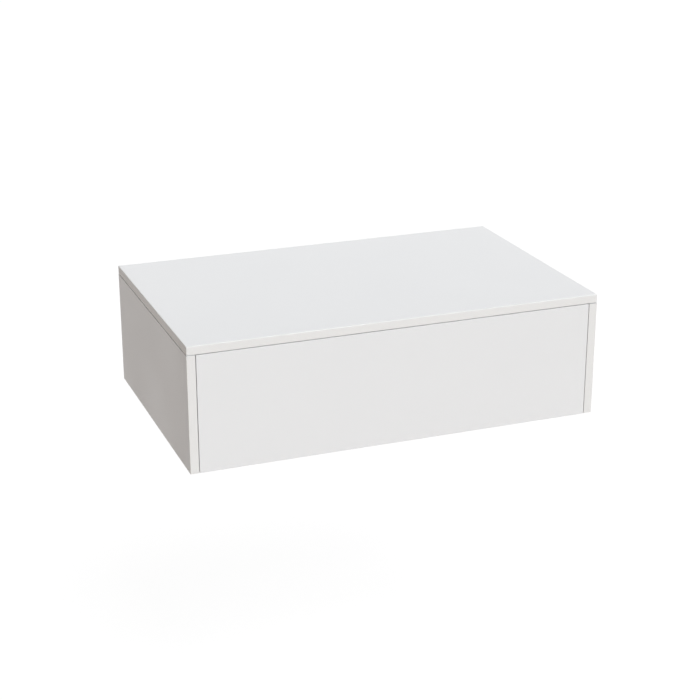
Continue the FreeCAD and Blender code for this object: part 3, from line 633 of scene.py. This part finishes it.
@made_once
def fluted_beech(tree):
    """Beech rod, pressed with flutes: dry and pinkish tan, with darker pores along the grain.

    The pores are 0.1 mm wide and 2 mm long, and are drawn 0.4 mm wide so that they show.
    """
    tint = finishes().beech
    pores = add_node(
        tree,
        "ShaderNodeTexNoise",
        {"Scale": per_metre(0.4), "Detail": 3},
        {"Vector": on_surface(tree, (12, 1, 12))},
    ).outputs["Fac"]
    tone = add_node(
        tree,
        "ShaderNodeMix",
        {"data_type": "RGBA", MIX_A: shade(tint, -0.22), MIX_B: shade(tint, 0.12)},
        {MIX_FACTOR: pores},
    )
    bump = add_node(tree, "ShaderNodeBump", {"Distance": 0.04 * MM}, {"Height": pores})
    return add_node(
        tree,
        "ShaderNodeBsdfPrincipled",
        {"IOR": 1.5, "Roughness": 0.62},
        {"Base Color": tone.outputs[MIX_RESULT], "Normal": bump.outputs["Normal"]},
    )


# Mesh building

# An edge where the surface turns by more than this is sharp
SHARP_TURN = math.radians(30)
# Corners closer together than this are one corner
ONE_PLACE = 0.001 * MM
# Where an outline's two coordinates and the place along the axis go, for each axis of a prism
PRISM_PLANES = {
    "X": lambda across, up, along: (along, across, up),
    "Z": lambda across, up, along: (across, up, along),
}


def prism(mesh, outline, axis, start, end):
    """Adds a straight solid between two places on an axis, with the outline across it."""
    place = PRISM_PLANES[axis]
    near, far = ([mesh.verts.new(place(u, v, along)) for u, v in outline] for along in (start, end))
    made = [mesh.faces.new(near), mesh.faces.new(far)]
    for index, corner in enumerate(near):
        following = (index + 1) % len(near)
        made.append(mesh.faces.new((corner, near[following], far[following], far[index])))
    bmesh.ops.recalc_face_normals(mesh, faces=made)


def rectangle(low, high):
    return [(low[0], low[1]), (high[0], low[1]), (high[0], high[1]), (low[0], high[1])]


def turned(mesh, rows, steps=32):
    """Adds a solid round the Z axis. Each row is a radius and a height, from one end to the other.

    A radius may be a function of the share of a turn, which makes threads and flutes.
    """
    rings = []
    for radius, height in rows:
        ring = []
        for step in range(steps):
            share = step / steps
            reach = radius(share) if callable(radius) else radius
            turn = 2 * math.pi * share
            ring.append(mesh.verts.new((reach * math.cos(turn), reach * math.sin(turn), height)))
        rings.append(ring)
    made = []
    for low, high in zip(rings, rings[1:]):
        for step in range(steps):
            following = (step + 1) % steps
            made.append(mesh.faces.new((low[step], low[following], high[following], high[step])))
    for ring, height in ((rings[0], rows[0][1]), (rings[-1], rows[-1][1])):
        middle = mesh.verts.new((0, 0, height))
        for step in range(steps):
            made.append(mesh.faces.new((ring[step], ring[(step + 1) % steps], middle)))
    bmesh.ops.recalc_face_normals(mesh, faces=made)


def round_edges(mesh, radius, steps=3, wanted=lambda middle: True):
    """Rounds the sharp edges whose middle the test accepts."""
    chosen = []
    for edge in mesh.edges:
        middle = (edge.verts[0].co + edge.verts[1].co) / 2
        if edge.is_manifold and edge.calc_face_angle(0) > SHARP_TURN and wanted(middle):
            chosen.append(edge)
    bmesh.ops.bevel(mesh, geom=chosen, offset=radius, segments=steps, profile=0.5, affect="EDGES")


def as_data(mesh):
    """Blender mesh data made of a built mesh."""
    data = bpy.data.meshes.new("blank")
    mesh.to_mesh(data)
    mesh.free()
    return data


def less(solid, cutter):
    """What is left of the first mesh where the second one is cut away."""
    blanks = [bpy.data.objects.new("blank", as_data(mesh)) for mesh in (solid, cutter)]
    for blank in blanks:
        bpy.context.scene.collection.objects.link(blank)
    modifier = blanks[0].modifiers.new("cut", "BOOLEAN")
    modifier.operation = "DIFFERENCE"
    modifier.object = blanks[1]
    mesh = bmesh.new()
    mesh.from_object(blanks[0], bpy.context.evaluated_depsgraph_get())
    for blank in blanks:
        bpy.data.meshes.remove(blank.data)
    sliver = ONE_PLACE * 2
    bmesh.ops.remove_doubles(mesh, verts=mesh.verts, dist=sliver)
    bmesh.ops.dissolve_degenerate(mesh, edges=mesh.edges, dist=sliver)
    return mesh


def copies(source, places):
    """One mesh that holds the source at each of the places."""
    data = as_data(source)
    mesh = bmesh.new()
    for place in places:
        data.transform(place)
        mesh.from_mesh(data)
        data.transform(place.inverted())
    bpy.data.meshes.remove(data)
    return mesh


def even_shading(piece):
    """Keeps large flat faces flat in the shading beside small rounded edges."""
    modifier = piece.modifiers.new("even_shading", "WEIGHTED_NORMAL")
    modifier.keep_sharp = True


def make_piece(name, mesh, body, materials, paint=None):
    """Turns a built mesh into a piece on a body; paint picks a material for a face's centre."""
    smooth_below = math.radians(40)
    if paint:
        for face in mesh.faces:
            face.material_index = int(paint(face.calc_center_median()))
    data = as_data(mesh)
    data.name = name
    data.shade_smooth()
    data.set_sharp_from_angle(angle=smooth_below)
    for material in materials:
        data.materials.append(material())
    piece = bpy.data.objects.new(name, data)
    bpy.context.scene.collection.objects.link(piece)
    even_shading(piece)
    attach(piece, body)
    return piece


def stand_for(node, mesh, materials, paint=None):
    """Puts a detailed piece in place of one node of the frame, on the same body."""
    body = frame["nodes"][node]["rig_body"]
    piece = make_piece(f"{node}_detailed", mesh, body, materials, paint)
    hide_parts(node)


def dress(node, material, radius):
    """Keeps a node of the frame as it is, with its own material and softly rounded edges."""
    piece = frame["nodes"][node]
    piece.data.materials.clear()
    piece.data.materials.append(material())
    weld = piece.modifiers.new("joined_corners", "WELD")
    weld.merge_threshold = ONE_PLACE
    whole = piece.modifiers.new("whole_faces", "DECIMATE")
    whole.decimate_type = "DISSOLVE"
    whole.angle_limit = math.radians(1)
    rounded = piece.modifiers.new("rounded_edges", "BEVEL")
    rounded.width = radius
    rounded.segments = 2
    rounded.limit_method = "ANGLE"
    rounded.angle_limit = SHARP_TURN
    even_shading(piece)


def solids_of(node):
    """The lowest and the highest corner of each separate solid in a node of the frame.

    They come in the order of their lowest corners, read to a hundredth of a millimetre.
    """
    digits = 5
    mesh = bmesh.new()
    mesh.from_mesh(frame["nodes"][node].data)
    bmesh.ops.remove_doubles(mesh, verts=mesh.verts, dist=ONE_PLACE)
    waiting = set(mesh.verts)
    found = []
    while waiting:
        reached = [waiting.pop()]
        group = []
        while reached:
            vertex = reached.pop()
            group.append(vertex.co)
            for edge in vertex.link_edges:
                other = edge.other_vert(vertex)
                if other in waiting:
                    waiting.discard(other)
                    reached.append(other)
        low = Vector([min(corner[axis] for corner in group) for axis in range(3)])
        high = Vector([max(corner[axis] for corner in group) for axis in range(3)])
        found.append((low, high))
    mesh.free()
    return sorted(found, key=lambda corners: tuple(round(value, digits) for value in corners[0]))


# Case and drawer boards


def make_top_board():
    """The top, with bands round its front and ends."""
    low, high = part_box("top_board")
    radius = boards().top_round
    mesh = bmesh.new()
    prism(mesh, rectangle(low, high), "Z", low.z, high.z)
    round_edges(mesh, boards().edge_round, wanted=lambda middle: middle.z < low.z + radius)
    round_edges(mesh, radius, steps=4, wanted=lambda middle: middle.z > low.z + radius)

    def on_band(centre):
        return abs(centre.x) > high.x - radius or centre.y < low.y + radius

    stand_for("top_board", mesh, [satin_lacquer, abs_edge_band], on_band)


def make_side_panel(name):
    """A side with the groove for the back panel, and a shadow line under the top board."""
    node = f"side_panel_{name}"
    low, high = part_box(node)
    back_low, back_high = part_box("back_panel")
    side = 1 if high.x > 0 else -1
    inner, outer = sorted((low.x, high.x), key=abs)
    bed = inner + boards().groove_depth * side
    radius = boards().edge_round
    plan = [
        (inner, low.y),
        (outer, low.y),
        (outer, high.y),
        (inner, high.y),
        (inner, back_high.y),
        (bed, back_high.y),
        (bed, back_low.y),
        (inner, back_low.y),
    ]
    mesh = bmesh.new()
    prism(mesh, plan, "Z", low.z, high.z)

    def shown(middle):
        by_groove = back_low.y - radius < middle.y < back_high.y + radius
        inboard = abs(middle.x) < abs(bed) + radius
        return middle.z < high.z - radius and not (by_groove and inboard)

    round_edges(mesh, radius, wanted=shown)
    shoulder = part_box("drawer_front")[1].z
    depth = boards().shadow_depth
    around = [
        (inner - depth * side, low.y - depth),
        (outer + depth * side, low.y - depth),
        (outer + depth * side, high.y + depth),
        (outer - depth * side, high.y + depth),
        (outer - depth * side, low.y + depth),
        (inner - depth * side, low.y + depth),
    ]
    shadow_line = bmesh.new()
    prism(shadow_line, around, "Z", shoulder, high.z + depth)
    mesh = less(mesh, shadow_line)

    def on_band(centre):
        return centre.y < low.y + radius or centre.z < low.z + radius

    stand_for(node, mesh, [satin_lacquer, upright_abs_edge_band], on_band)


def make_bottom_board():
    """The bottom, with a band along its front edge."""
    low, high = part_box("bottom_board")
    radius = boards().edge_round
    mesh = bmesh.new()
    prism(mesh, rectangle(low, high), "Z", low.z, high.z)

    def at_front(centre):
        return centre.y < low.y + radius

    round_edges(mesh, radius, wanted=at_front)
    stand_for("bottom_board", mesh, [satin_lacquer, abs_edge_band], at_front)


def make_drawer_front():
    """The slab front, bevelled behind its lower edge for the fingers."""
    low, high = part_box("drawer_front")
    section = [
        (low.y, low.z),
        (high.y - boards().grip_depth, low.z),
        (high.y, low.z + boards().grip_rise),
        (high.y, high.z),
        (low.y, high.z),
    ]
    mesh = bmesh.new()
    prism(mesh, section, "X", low.x, high.x)
    round_edges(mesh, boards().edge_round, steps=4)
    stand_for("drawer_front", mesh, [satin_lacquer])


def make_dowels():
    """Fluted dowels with chamfered ends: upright ones under the top, level ones in the bottom."""
    solids = solids_of("wood_dowels")
    low, high = solids[0]
    sizes = sorted(high - low)
    radius = sizes[0] / 2
    half = sizes[2] / 2
    sunk = boards().flute_depth / 2

    def fluted(share):
        return radius - sunk - sunk * math.cos(2 * math.pi * boards().flutes * share)

    def narrowed(share):
        return fluted(share) - boards().dowel_chamfer

    shoulder = half - boards().dowel_chamfer
    rows = [(narrowed, -half), (fluted, -shoulder), (fluted, shoulder), (narrowed, half)]
    mesh = bmesh.new()
    turned(mesh, rows, steps=boards().flutes * 4)
    places = []
    for low, high in solids:
        extent = high - low
        lies = extent.x > extent.z
        turn = Matrix.Rotation(math.pi / 2, 4, "Y") if lies else Matrix()
        places.append(Matrix.Translation((low + high) / 2) @ turn)
    stand_for("wood_dowels", copies(mesh, places), [fluted_beech])


# Screws

# The share of a head that is rounded off
PAN_CROWN = 0.45
CHEESE_CROWN = 0.1
# How far a small screw stands in from a plate's edge, in diameters of its head
EDGE_SHARE = 0.8


def screw(head, shank, end, crown, tip=0):
    """A screw whose seat is at 0 and which points up: head and shank sizes, then its end.

    The head is a radius and a height, the shank a radius, a thread depth and a pitch. The crown
    is the share of the head that is rounded off.
    """
    radius, rise = head
    core, depth, pitch = shank
    blunt_tip = 0.1
    rows = []
    crown_steps = 5
    for step in range(crown_steps + 1):
        turn = math.pi / 2 * step / crown_steps
        inset = radius * crown * (1 - math.sin(turn))
        fall = rise * crown * (1 - math.cos(turn))
        rows.append((radius - inset, fall - rise))
    rows.append((radius, 0))

    def thread(height):
        narrow = min(1, (end - height) / tip + blunt_tip) if tip else 1

        def reach(share):
            phase = (height / pitch - share) % 1
            return (core - depth * abs(phase * 2 - 1)) * narrow

        return reach

    rows_in_turn = 6
    count = round(end / pitch * rows_in_turn)
    rows += [(thread(end * row / count), end * row / count) for row in range(count + 1)]
    mesh = bmesh.new()
    turned(mesh, rows)
    return less(mesh, cross_recess(radius, rise))


def cross_recess(radius, rise):
    """The cross that a driver fits, sunk into the top of a head."""
    sizes = hardware()
    widest_share = 0.62
    deepest_share = 0.65
    reach = min(sizes.recess_reach, radius * widest_share)
    half = sizes.recess_width / 2
    outline = []
    for quarter in range(4):
        turn = Matrix.Rotation(-math.pi / 2 * quarter, 2)
        for point in ((half, half), (reach, half), (reach, -half)):
            outline.append(tuple(turn @ Vector(point)))
    clear_above = -rise * 2
    mesh = bmesh.new()
    prism(mesh, outline, "Z", clear_above, rise * deepest_share - rise)
    return mesh


def standing_at(seat, direction):
    """The place of a screw whose seat is at a point and which points in a direction."""
    turn = Vector(direction).to_track_quat("Z", "Y").to_matrix().to_4x4()
    return Matrix.Translation(seat) @ turn


def make_wood_screws(node, forwards=False):
    """Pan-head wood screws, which point forwards or away from the unit's middle."""
    sizes = hardware()
    rise = sizes.wood_head
    places = []
    for low, high in solids_of(node):
        middle = (low + high) / 2
        side = 1 if middle.x > 0 else -1
        direction = Vector((0, -1, 0)) if forwards else Vector((side, 0, 0))
        half = abs((high - low).dot(direction)) / 2
        places.append(standing_at(middle - direction * (half - rise), direction))
    # All screws of a node are alike, so the last one gives their size
    radius = (high.z - low.z) / 2
    shank = (sizes.wood_shank / 2, sizes.wood_depth, sizes.wood_pitch)
    source = screw((radius, rise), shank, half * 2 - rise, PAN_CROWN, sizes.wood_tip)
    stand_for(node, copies(source, places), [zinc_plated_steel])


def make_adjuster(node, direction):
    """A hanger's adjuster: a cheese head with a cross recess, and a fine thread."""
    sizes = hardware()
    direction = Vector(direction)
    rise = sizes.adjuster_head
    low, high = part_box(node)
    half = (high - low).dot(direction) / 2
    radius = (high.x - low.x) / 2
    place = standing_at((low + high) / 2 - direction * (half - rise), direction)
    shank = (sizes.adjuster_shank / 2, sizes.adjuster_depth, sizes.adjuster_pitch)
    source = screw((radius, rise), shank, half * 2 - rise, CHEESE_CROWN)
    stand_for(node, copies(source, [place]), [zinc_plated_steel])


def make_small_screws(name, seats):
    """Small pan-head screws, driven up into the drawer's bottom, with half the wood thread."""
    sizes = hardware()
    shank = (sizes.small_shank / 2, sizes.wood_depth / 2, sizes.wood_pitch / 2)
    head = (sizes.small_head / 2, sizes.small_rise)
    source = screw(head, shank, sizes.small_length, PAN_CROWN, sizes.wood_tip)
    mesh = copies(source, [standing_at(seat, (0, 0, 1)) for seat in seats])
    make_piece(name, mesh, "drawer", [zinc_plated_steel])


def make_lock_screws(name):
    """Two screws through a coupling's plate, on the side away from its lever."""
    low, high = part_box(f"lock_body_{name}")
    inboard = min(low.x, high.x, key=abs)
    side = 1 if inboard > 0 else -1
    across = inboard + side * hardware().small_head * EDGE_SHARE
    under = high.z - hardware().lock_plate
    depth = high.y - low.y
    row_shares = (0.56, 0.86)
    seats = [Vector((across, low.y + depth * share, under)) for share in row_shares]
    make_small_screws(f"lock_screws_{name}", seats)


def make_bracket_screws(name):
    """A screw on each side of the shaft, through the plate of its bracket."""
    low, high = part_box(f"shaft_bracket_{name}")
    middle = (low + high) / 2
    inboard = min(low.x, high.x, key=abs)
    side = 1 if inboard > 0 else -1
    across = inboard + side * (high.x - low.x) / 4
    under = high.z - hardware().bracket_plate
    apart = (high.y - low.y) / 2 - hardware().small_head * EDGE_SHARE
    seats = [Vector((across, middle.y + step * apart, under)) for step in (-1, 1)]
    make_small_screws(f"bracket_screws_{name}", seats)


# Operators


class Undoable:
    """What the operators share: each one is a single step to undo."""

    bl_options = {"REGISTER", "UNDO"}


class DRAWERUNIT_OT_case(Undoable, bpy.types.Operator):
    """Makes the lacquered boards of the case with their banded edges, and the back panel"""

    bl_idname = "drawer_unit.case"
    bl_label = "Case boards"

    def execute(self, context):
        make_top_board()
        make_bottom_board()
        for name in SIDES:
            make_side_panel(name)
        dress("back_panel", pearl_melamine, boards().edge_ease)
        return {"FINISHED"}


class DRAWERUNIT_OT_dowels(Undoable, bpy.types.Operator):
    """Makes the fluted dowels that join the case"""

    bl_idname = "drawer_unit.dowels"
    bl_label = "Dowels"

    def execute(self, context):
        make_dowels()
        return {"FINISHED"}


class DRAWERUNIT_OT_front(Undoable, bpy.types.Operator):
    """Makes the slab drawer front with its hidden grip"""

    bl_idname = "drawer_unit.front"
    bl_label = "Drawer front"

    def execute(self, context):
        make_drawer_front()
        return {"FINISHED"}


class DRAWERUNIT_OT_box(Undoable, bpy.types.Operator):
    """Finishes the melamine boards of the drawer box"""

    bl_idname = "drawer_unit.box"
    bl_label = "Drawer box"

    def execute(self, context):
        for node in ("drawer_inner_front", "drawer_side_left", "drawer_side_right", "drawer_back"):
            dress(node, banded_melamine, boards().edge_ease)
        dress("drawer_bottom", pearl_melamine, boards().edge_ease)
        return {"FINISHED"}


class DRAWERUNIT_OT_wall_rail(Undoable, bpy.types.Operator):
    """Finishes the folded steel rail on the wall"""

    bl_idname = "drawer_unit.wall_rail"
    bl_label = "Wall rail"

    def execute(self, context):
        dress("wall_rail", zinc_plated_steel, hardware().sheet_round)
        return {"FINISHED"}


class DRAWERUNIT_OT_hangers(Undoable, bpy.types.Operator):
    """Finishes the housings, carriers and hooks of the hangers"""

    bl_idname = "drawer_unit.hangers"
    bl_label = "Hangers"

    def execute(self, context):
        for name in SIDES:
            dress(f"hanger_housing_{name}", zinc_plated_steel, hardware().sheet_round)
            dress(f"hanger_hook_{name}", zinc_casting, hardware().moulded_round)
            dress(f"hanger_carrier_{name}", zinc_casting, hardware().moulded_round)
        return {"FINISHED"}


class DRAWERUNIT_OT_adjusters(Undoable, bpy.types.Operator):
    """Makes the height and depth adjusters of the hangers"""

    bl_idname = "drawer_unit.adjusters"
    bl_label = "Adjusters"

    def execute(self, context):
        for name in SIDES:
            make_adjuster(f"height_screw_{name}", (0, 0, 1))
            make_adjuster(f"depth_screw_{name}", (0, 1, 0))
        return {"FINISHED"}


class DRAWERUNIT_OT_wood_screws(Undoable, bpy.types.Operator):
    """Makes the wood screws of the runners, the hangers and the drawer front"""

    bl_idname = "drawer_unit.wood_screws"
    bl_label = "Wood screws"

    def execute(self, context):
        make_wood_screws("runner_screws")
        make_wood_screws("hanger_screws")
        make_wood_screws("front_screws", forwards=True)
        return {"FINISHED"}


class DRAWERUNIT_OT_runners(Undoable, bpy.types.Operator):
    """Finishes the fixed, middle and drawer members of the runners"""

    bl_idname = "drawer_unit.runners"
    bl_label = "Runner members"

    def execute(self, context):
        for name in SIDES:
            for member in ("cabinet", "middle", "drawer"):
                dress(f"runner_{member}_{name}", zinc_plated_steel, hardware().sheet_round)
        return {"FINISHED"}


class DRAWERUNIT_OT_carriages(Undoable, bpy.types.Operator):
    """Finishes the roller cages of the runners, and their rollers"""

    bl_idname = "drawer_unit.carriages"
    bl_label = "Roller carriages"

    def execute(self, context):
        for name in SIDES:
            for level in ("lower", "upper"):
                dress(f"{level}_carriage_{name}", glass_filled_nylon, hardware().fine_round)
                dress(f"{level}_rollers_{name}", white_acetal, hardware().fine_round)
        return {"FINISHED"}


class DRAWERUNIT_OT_dampers(Undoable, bpy.types.Operator):
    """Finishes the soft-close dampers"""

    bl_idname = "drawer_unit.dampers"
    bl_label = "Dampers"

    def execute(self, context):
        for name in SIDES:
            dress(f"damper_{name}", glass_filled_nylon, hardware().moulded_round)
        return {"FINISHED"}


class DRAWERUNIT_OT_stabiliser(Undoable, bpy.types.Operator):
    """Finishes the racks, the pinions, their shaft and its brackets, and makes their screws"""

    bl_idname = "drawer_unit.stabiliser"
    bl_label = "Stabiliser"

    def execute(self, context):
        dress("sync_shaft", anodised_aluminium, hardware().moulded_round)
        for name in SIDES:
            dress(f"rack_{name}", white_acetal, hardware().fine_round)
            dress(f"pinion_{name}", white_acetal, hardware().fine_round)
            dress(f"shaft_bracket_{name}", glass_filled_nylon, hardware().moulded_round)
            make_bracket_screws(name)
        return {"FINISHED"}


class DRAWERUNIT_OT_couplings(Undoable, bpy.types.Operator):
    """Finishes the couplings that hold the drawer on its runners, and makes their screws"""

    bl_idname = "drawer_unit.couplings"
    bl_label = "Front couplings"

    def execute(self, context):
        for name in SIDES:
            dress(f"lock_body_{name}", glass_filled_nylon, hardware().moulded_round)
            dress(f"lock_lever_{name}", glass_filled_nylon, hardware().lever_round)
            make_lock_screws(name)
        return {"FINISHED"}


class DRAWERUNIT_OT_stage(Undoable, bpy.types.Operator):
    """Makes the pale floor, the soft light and the camera"""

    bl_idname = "drawer_unit.stage"
    bl_label = "Floor, light and camera"

    def execute(self, context):
        make_floor()
        make_world()
        make_lights()
        make_camera()
        return {"FINISHED"}


# Floor, light and camera


def seen_directly(tree):
    """1 for what the camera sees, straight or in a reflection or through glass, otherwise 0."""
    path = add_node(tree, "ShaderNodeLightPath")
    seen = path.outputs["Is Camera Ray"]
    for ray in ("Is Glossy Ray", "Is Transmission Ray"):
        links = {0: seen, 1: path.outputs[ray]}
        seen = add_node(tree, "ShaderNodeMath", {"operation": "MAXIMUM"}, links).outputs[0]
    return seen


def make_floor():
    """A pale matt floor that reads as white, but keeps a faint shadow of the unit."""
    reach = stage().floor_reach
    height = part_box("side_panel_left")[0].z - stage().floor_drop
    mesh = bmesh.new()
    corners = rectangle((-reach, -reach), (reach, reach))
    mesh.faces.new([mesh.verts.new((x, y, height)) for x, y in corners])
    data = as_data(mesh)
    data.materials.append(pale_floor())
    floor = bpy.data.objects.new("floor", data)
    bpy.context.scene.collection.objects.link(floor)


@made_once
def pale_floor(tree):
    """A matt screed floor for the light; to the eye it is white, with a fifth of its shadow.

    From below it is clear, so that the unit's underside can be looked at.
    """
    shadow_share = 0.2
    glow_level = 1.17
    matt = add_node(tree, "ShaderNodeBsdfDiffuse", {"Color": stage().floor_colour})
    grey = add_node(tree, "ShaderNodeBsdfDiffuse", {"Color": stage().seen_colour})
    glow = add_node(tree, "ShaderNodeEmission", {"Strength": glow_level})
    white = add_node(
        tree, "ShaderNodeMixShader", {0: shadow_share}, {1: glow.outputs[0], 2: grey.outputs[0]}
    )
    above = add_node(
        tree,
        "ShaderNodeMixShader",
        links={0: seen_directly(tree), 1: matt.outputs[0], 2: white.outputs[0]},
    )
    below = add_node(tree, "ShaderNodeBsdfTransparent")
    side = add_node(tree, "ShaderNodeNewGeometry")
    return add_node(
        tree,
        "ShaderNodeMixShader",
        links={0: side.outputs["Backfacing"], 1: above.outputs[0], 2: below.outputs[0]},
    )


def make_world():
    """White where the camera looks past the floor, and an even pale light for everything else."""
    world = bpy.data.worlds.new("studio")
    world.use_nodes = True
    tree = world.node_tree
    tree.nodes.clear()
    ambient = add_node(tree, "ShaderNodeBackground", {"Strength": stage().ambient})
    white = add_node(tree, "ShaderNodeBackground", {"Strength": 1})
    for background in (ambient, white):
        background.inputs["Color"].default_value = (1, 1, 1, 1)
    mix = add_node(
        tree,
        "ShaderNodeMixShader",
        links={0: seen_directly(tree), 1: ambient.outputs[0], 2: white.outputs[0]},
    )
    add_node(tree, "ShaderNodeOutputWorld", links={"Surface": mix.outputs[0]})
    bpy.context.scene.world = world


def make_lights():
    """Wide soft lights from the front right and from behind, and a narrower one overhead.

    Each one's last value is the direction it comes from. The key light leaves no reflection of
    its own, so that the flat top keeps its tone from every side; the overhead one draws the
    highlights along the edges.
    """
    studio = stage()
    key, other = studio.key_colour[:3], studio.other_colour[:3]
    wide, narrow = studio.wide_spread, studio.narrow_spread
    lights = {
        "key_light": (studio.key_strength, wide, key, (0.41, -0.79, 0.46)),
        "rim_light": (studio.rim_strength, wide, other, (0.25, 0.8, 0.5)),
        "overhead_light": (studio.overhead_strength, narrow, other, (0.15, -0.4, 0.9)),
    }
    for name, (strength, spread, tint, towards) in lights.items():
        data = bpy.data.lights.new(name, "SUN")
        data.energy = strength
        data.angle = spread
        data.color = tint
        lamp = bpy.data.objects.new(name, data)
        lamp.rotation_euler = Vector(towards).to_track_quat("Z", "Y").to_euler()
        lamp.visible_glossy = name != "key_light"
        bpy.context.scene.collection.objects.link(lamp)


def make_camera():
    """The camera of the photograph, found from the seven corners of the unit that it shows."""
    data = bpy.data.cameras.new("camera")
    data.sensor_width = SENSOR_WIDTH
    data.lens = stage().focal_length
    camera = bpy.data.objects.new("camera", data)
    camera.location = stage().camera_place
    camera.rotation_euler = stage().camera_turn
    bpy.context.scene.collection.objects.link(camera)
    bpy.context.scene.camera = camera
    bpy.context.scene.view_settings.view_transform = "Standard"


OPERATORS = (
    DRAWERUNIT_OT_case,
    DRAWERUNIT_OT_dowels,
    DRAWERUNIT_OT_front,
    DRAWERUNIT_OT_box,
    DRAWERUNIT_OT_wall_rail,
    DRAWERUNIT_OT_hangers,
    DRAWERUNIT_OT_adjusters,
    DRAWERUNIT_OT_wood_screws,
    DRAWERUNIT_OT_runners,
    DRAWERUNIT_OT_carriages,
    DRAWERUNIT_OT_dampers,
    DRAWERUNIT_OT_stabiliser,
    DRAWERUNIT_OT_couplings,
    DRAWERUNIT_OT_stage,
)


class DRAWERUNIT_PT_panel(bpy.types.Panel):
    """Lists what the unit is made of, and the sizes and finishes that can be changed"""

    bl_idname = "DRAWERUNIT_PT_panel"
    bl_label = "Drawer unit"
    bl_space_type = "VIEW_3D"
    bl_region_type = "UI"
    bl_category = "Drawer unit"

    def draw(self, context):
        for operator in OPERATORS:
            self.layout.operator(operator.bl_idname)
        for name, group in GROUPS.items():
            box = self.layout.box()
            for setting in group.__annotations__:
                box.prop(getattr(context.scene, name), setting)


CLASSES = (*GROUPS.values(), *OPERATORS, DRAWERUNIT_PT_panel)


def register():
    for item in CLASSES:
        bpy.utils.register_class(item)
    for name, group in GROUPS.items():
        setattr(bpy.types.Scene, name, bpy.props.PointerProperty(type=group))


def unregister():
    for name in GROUPS:
        delattr(bpy.types.Scene, name)
    for item in reversed(CLASSES):
        bpy.utils.unregister_class(item)


def main():
    """Makes everything in order."""
    register()
    for operator in OPERATORS:
        family, name = operator.bl_idname.split(".")
        getattr(getattr(bpy.ops, family), name)()


if __name__ == "__main__":
    main()
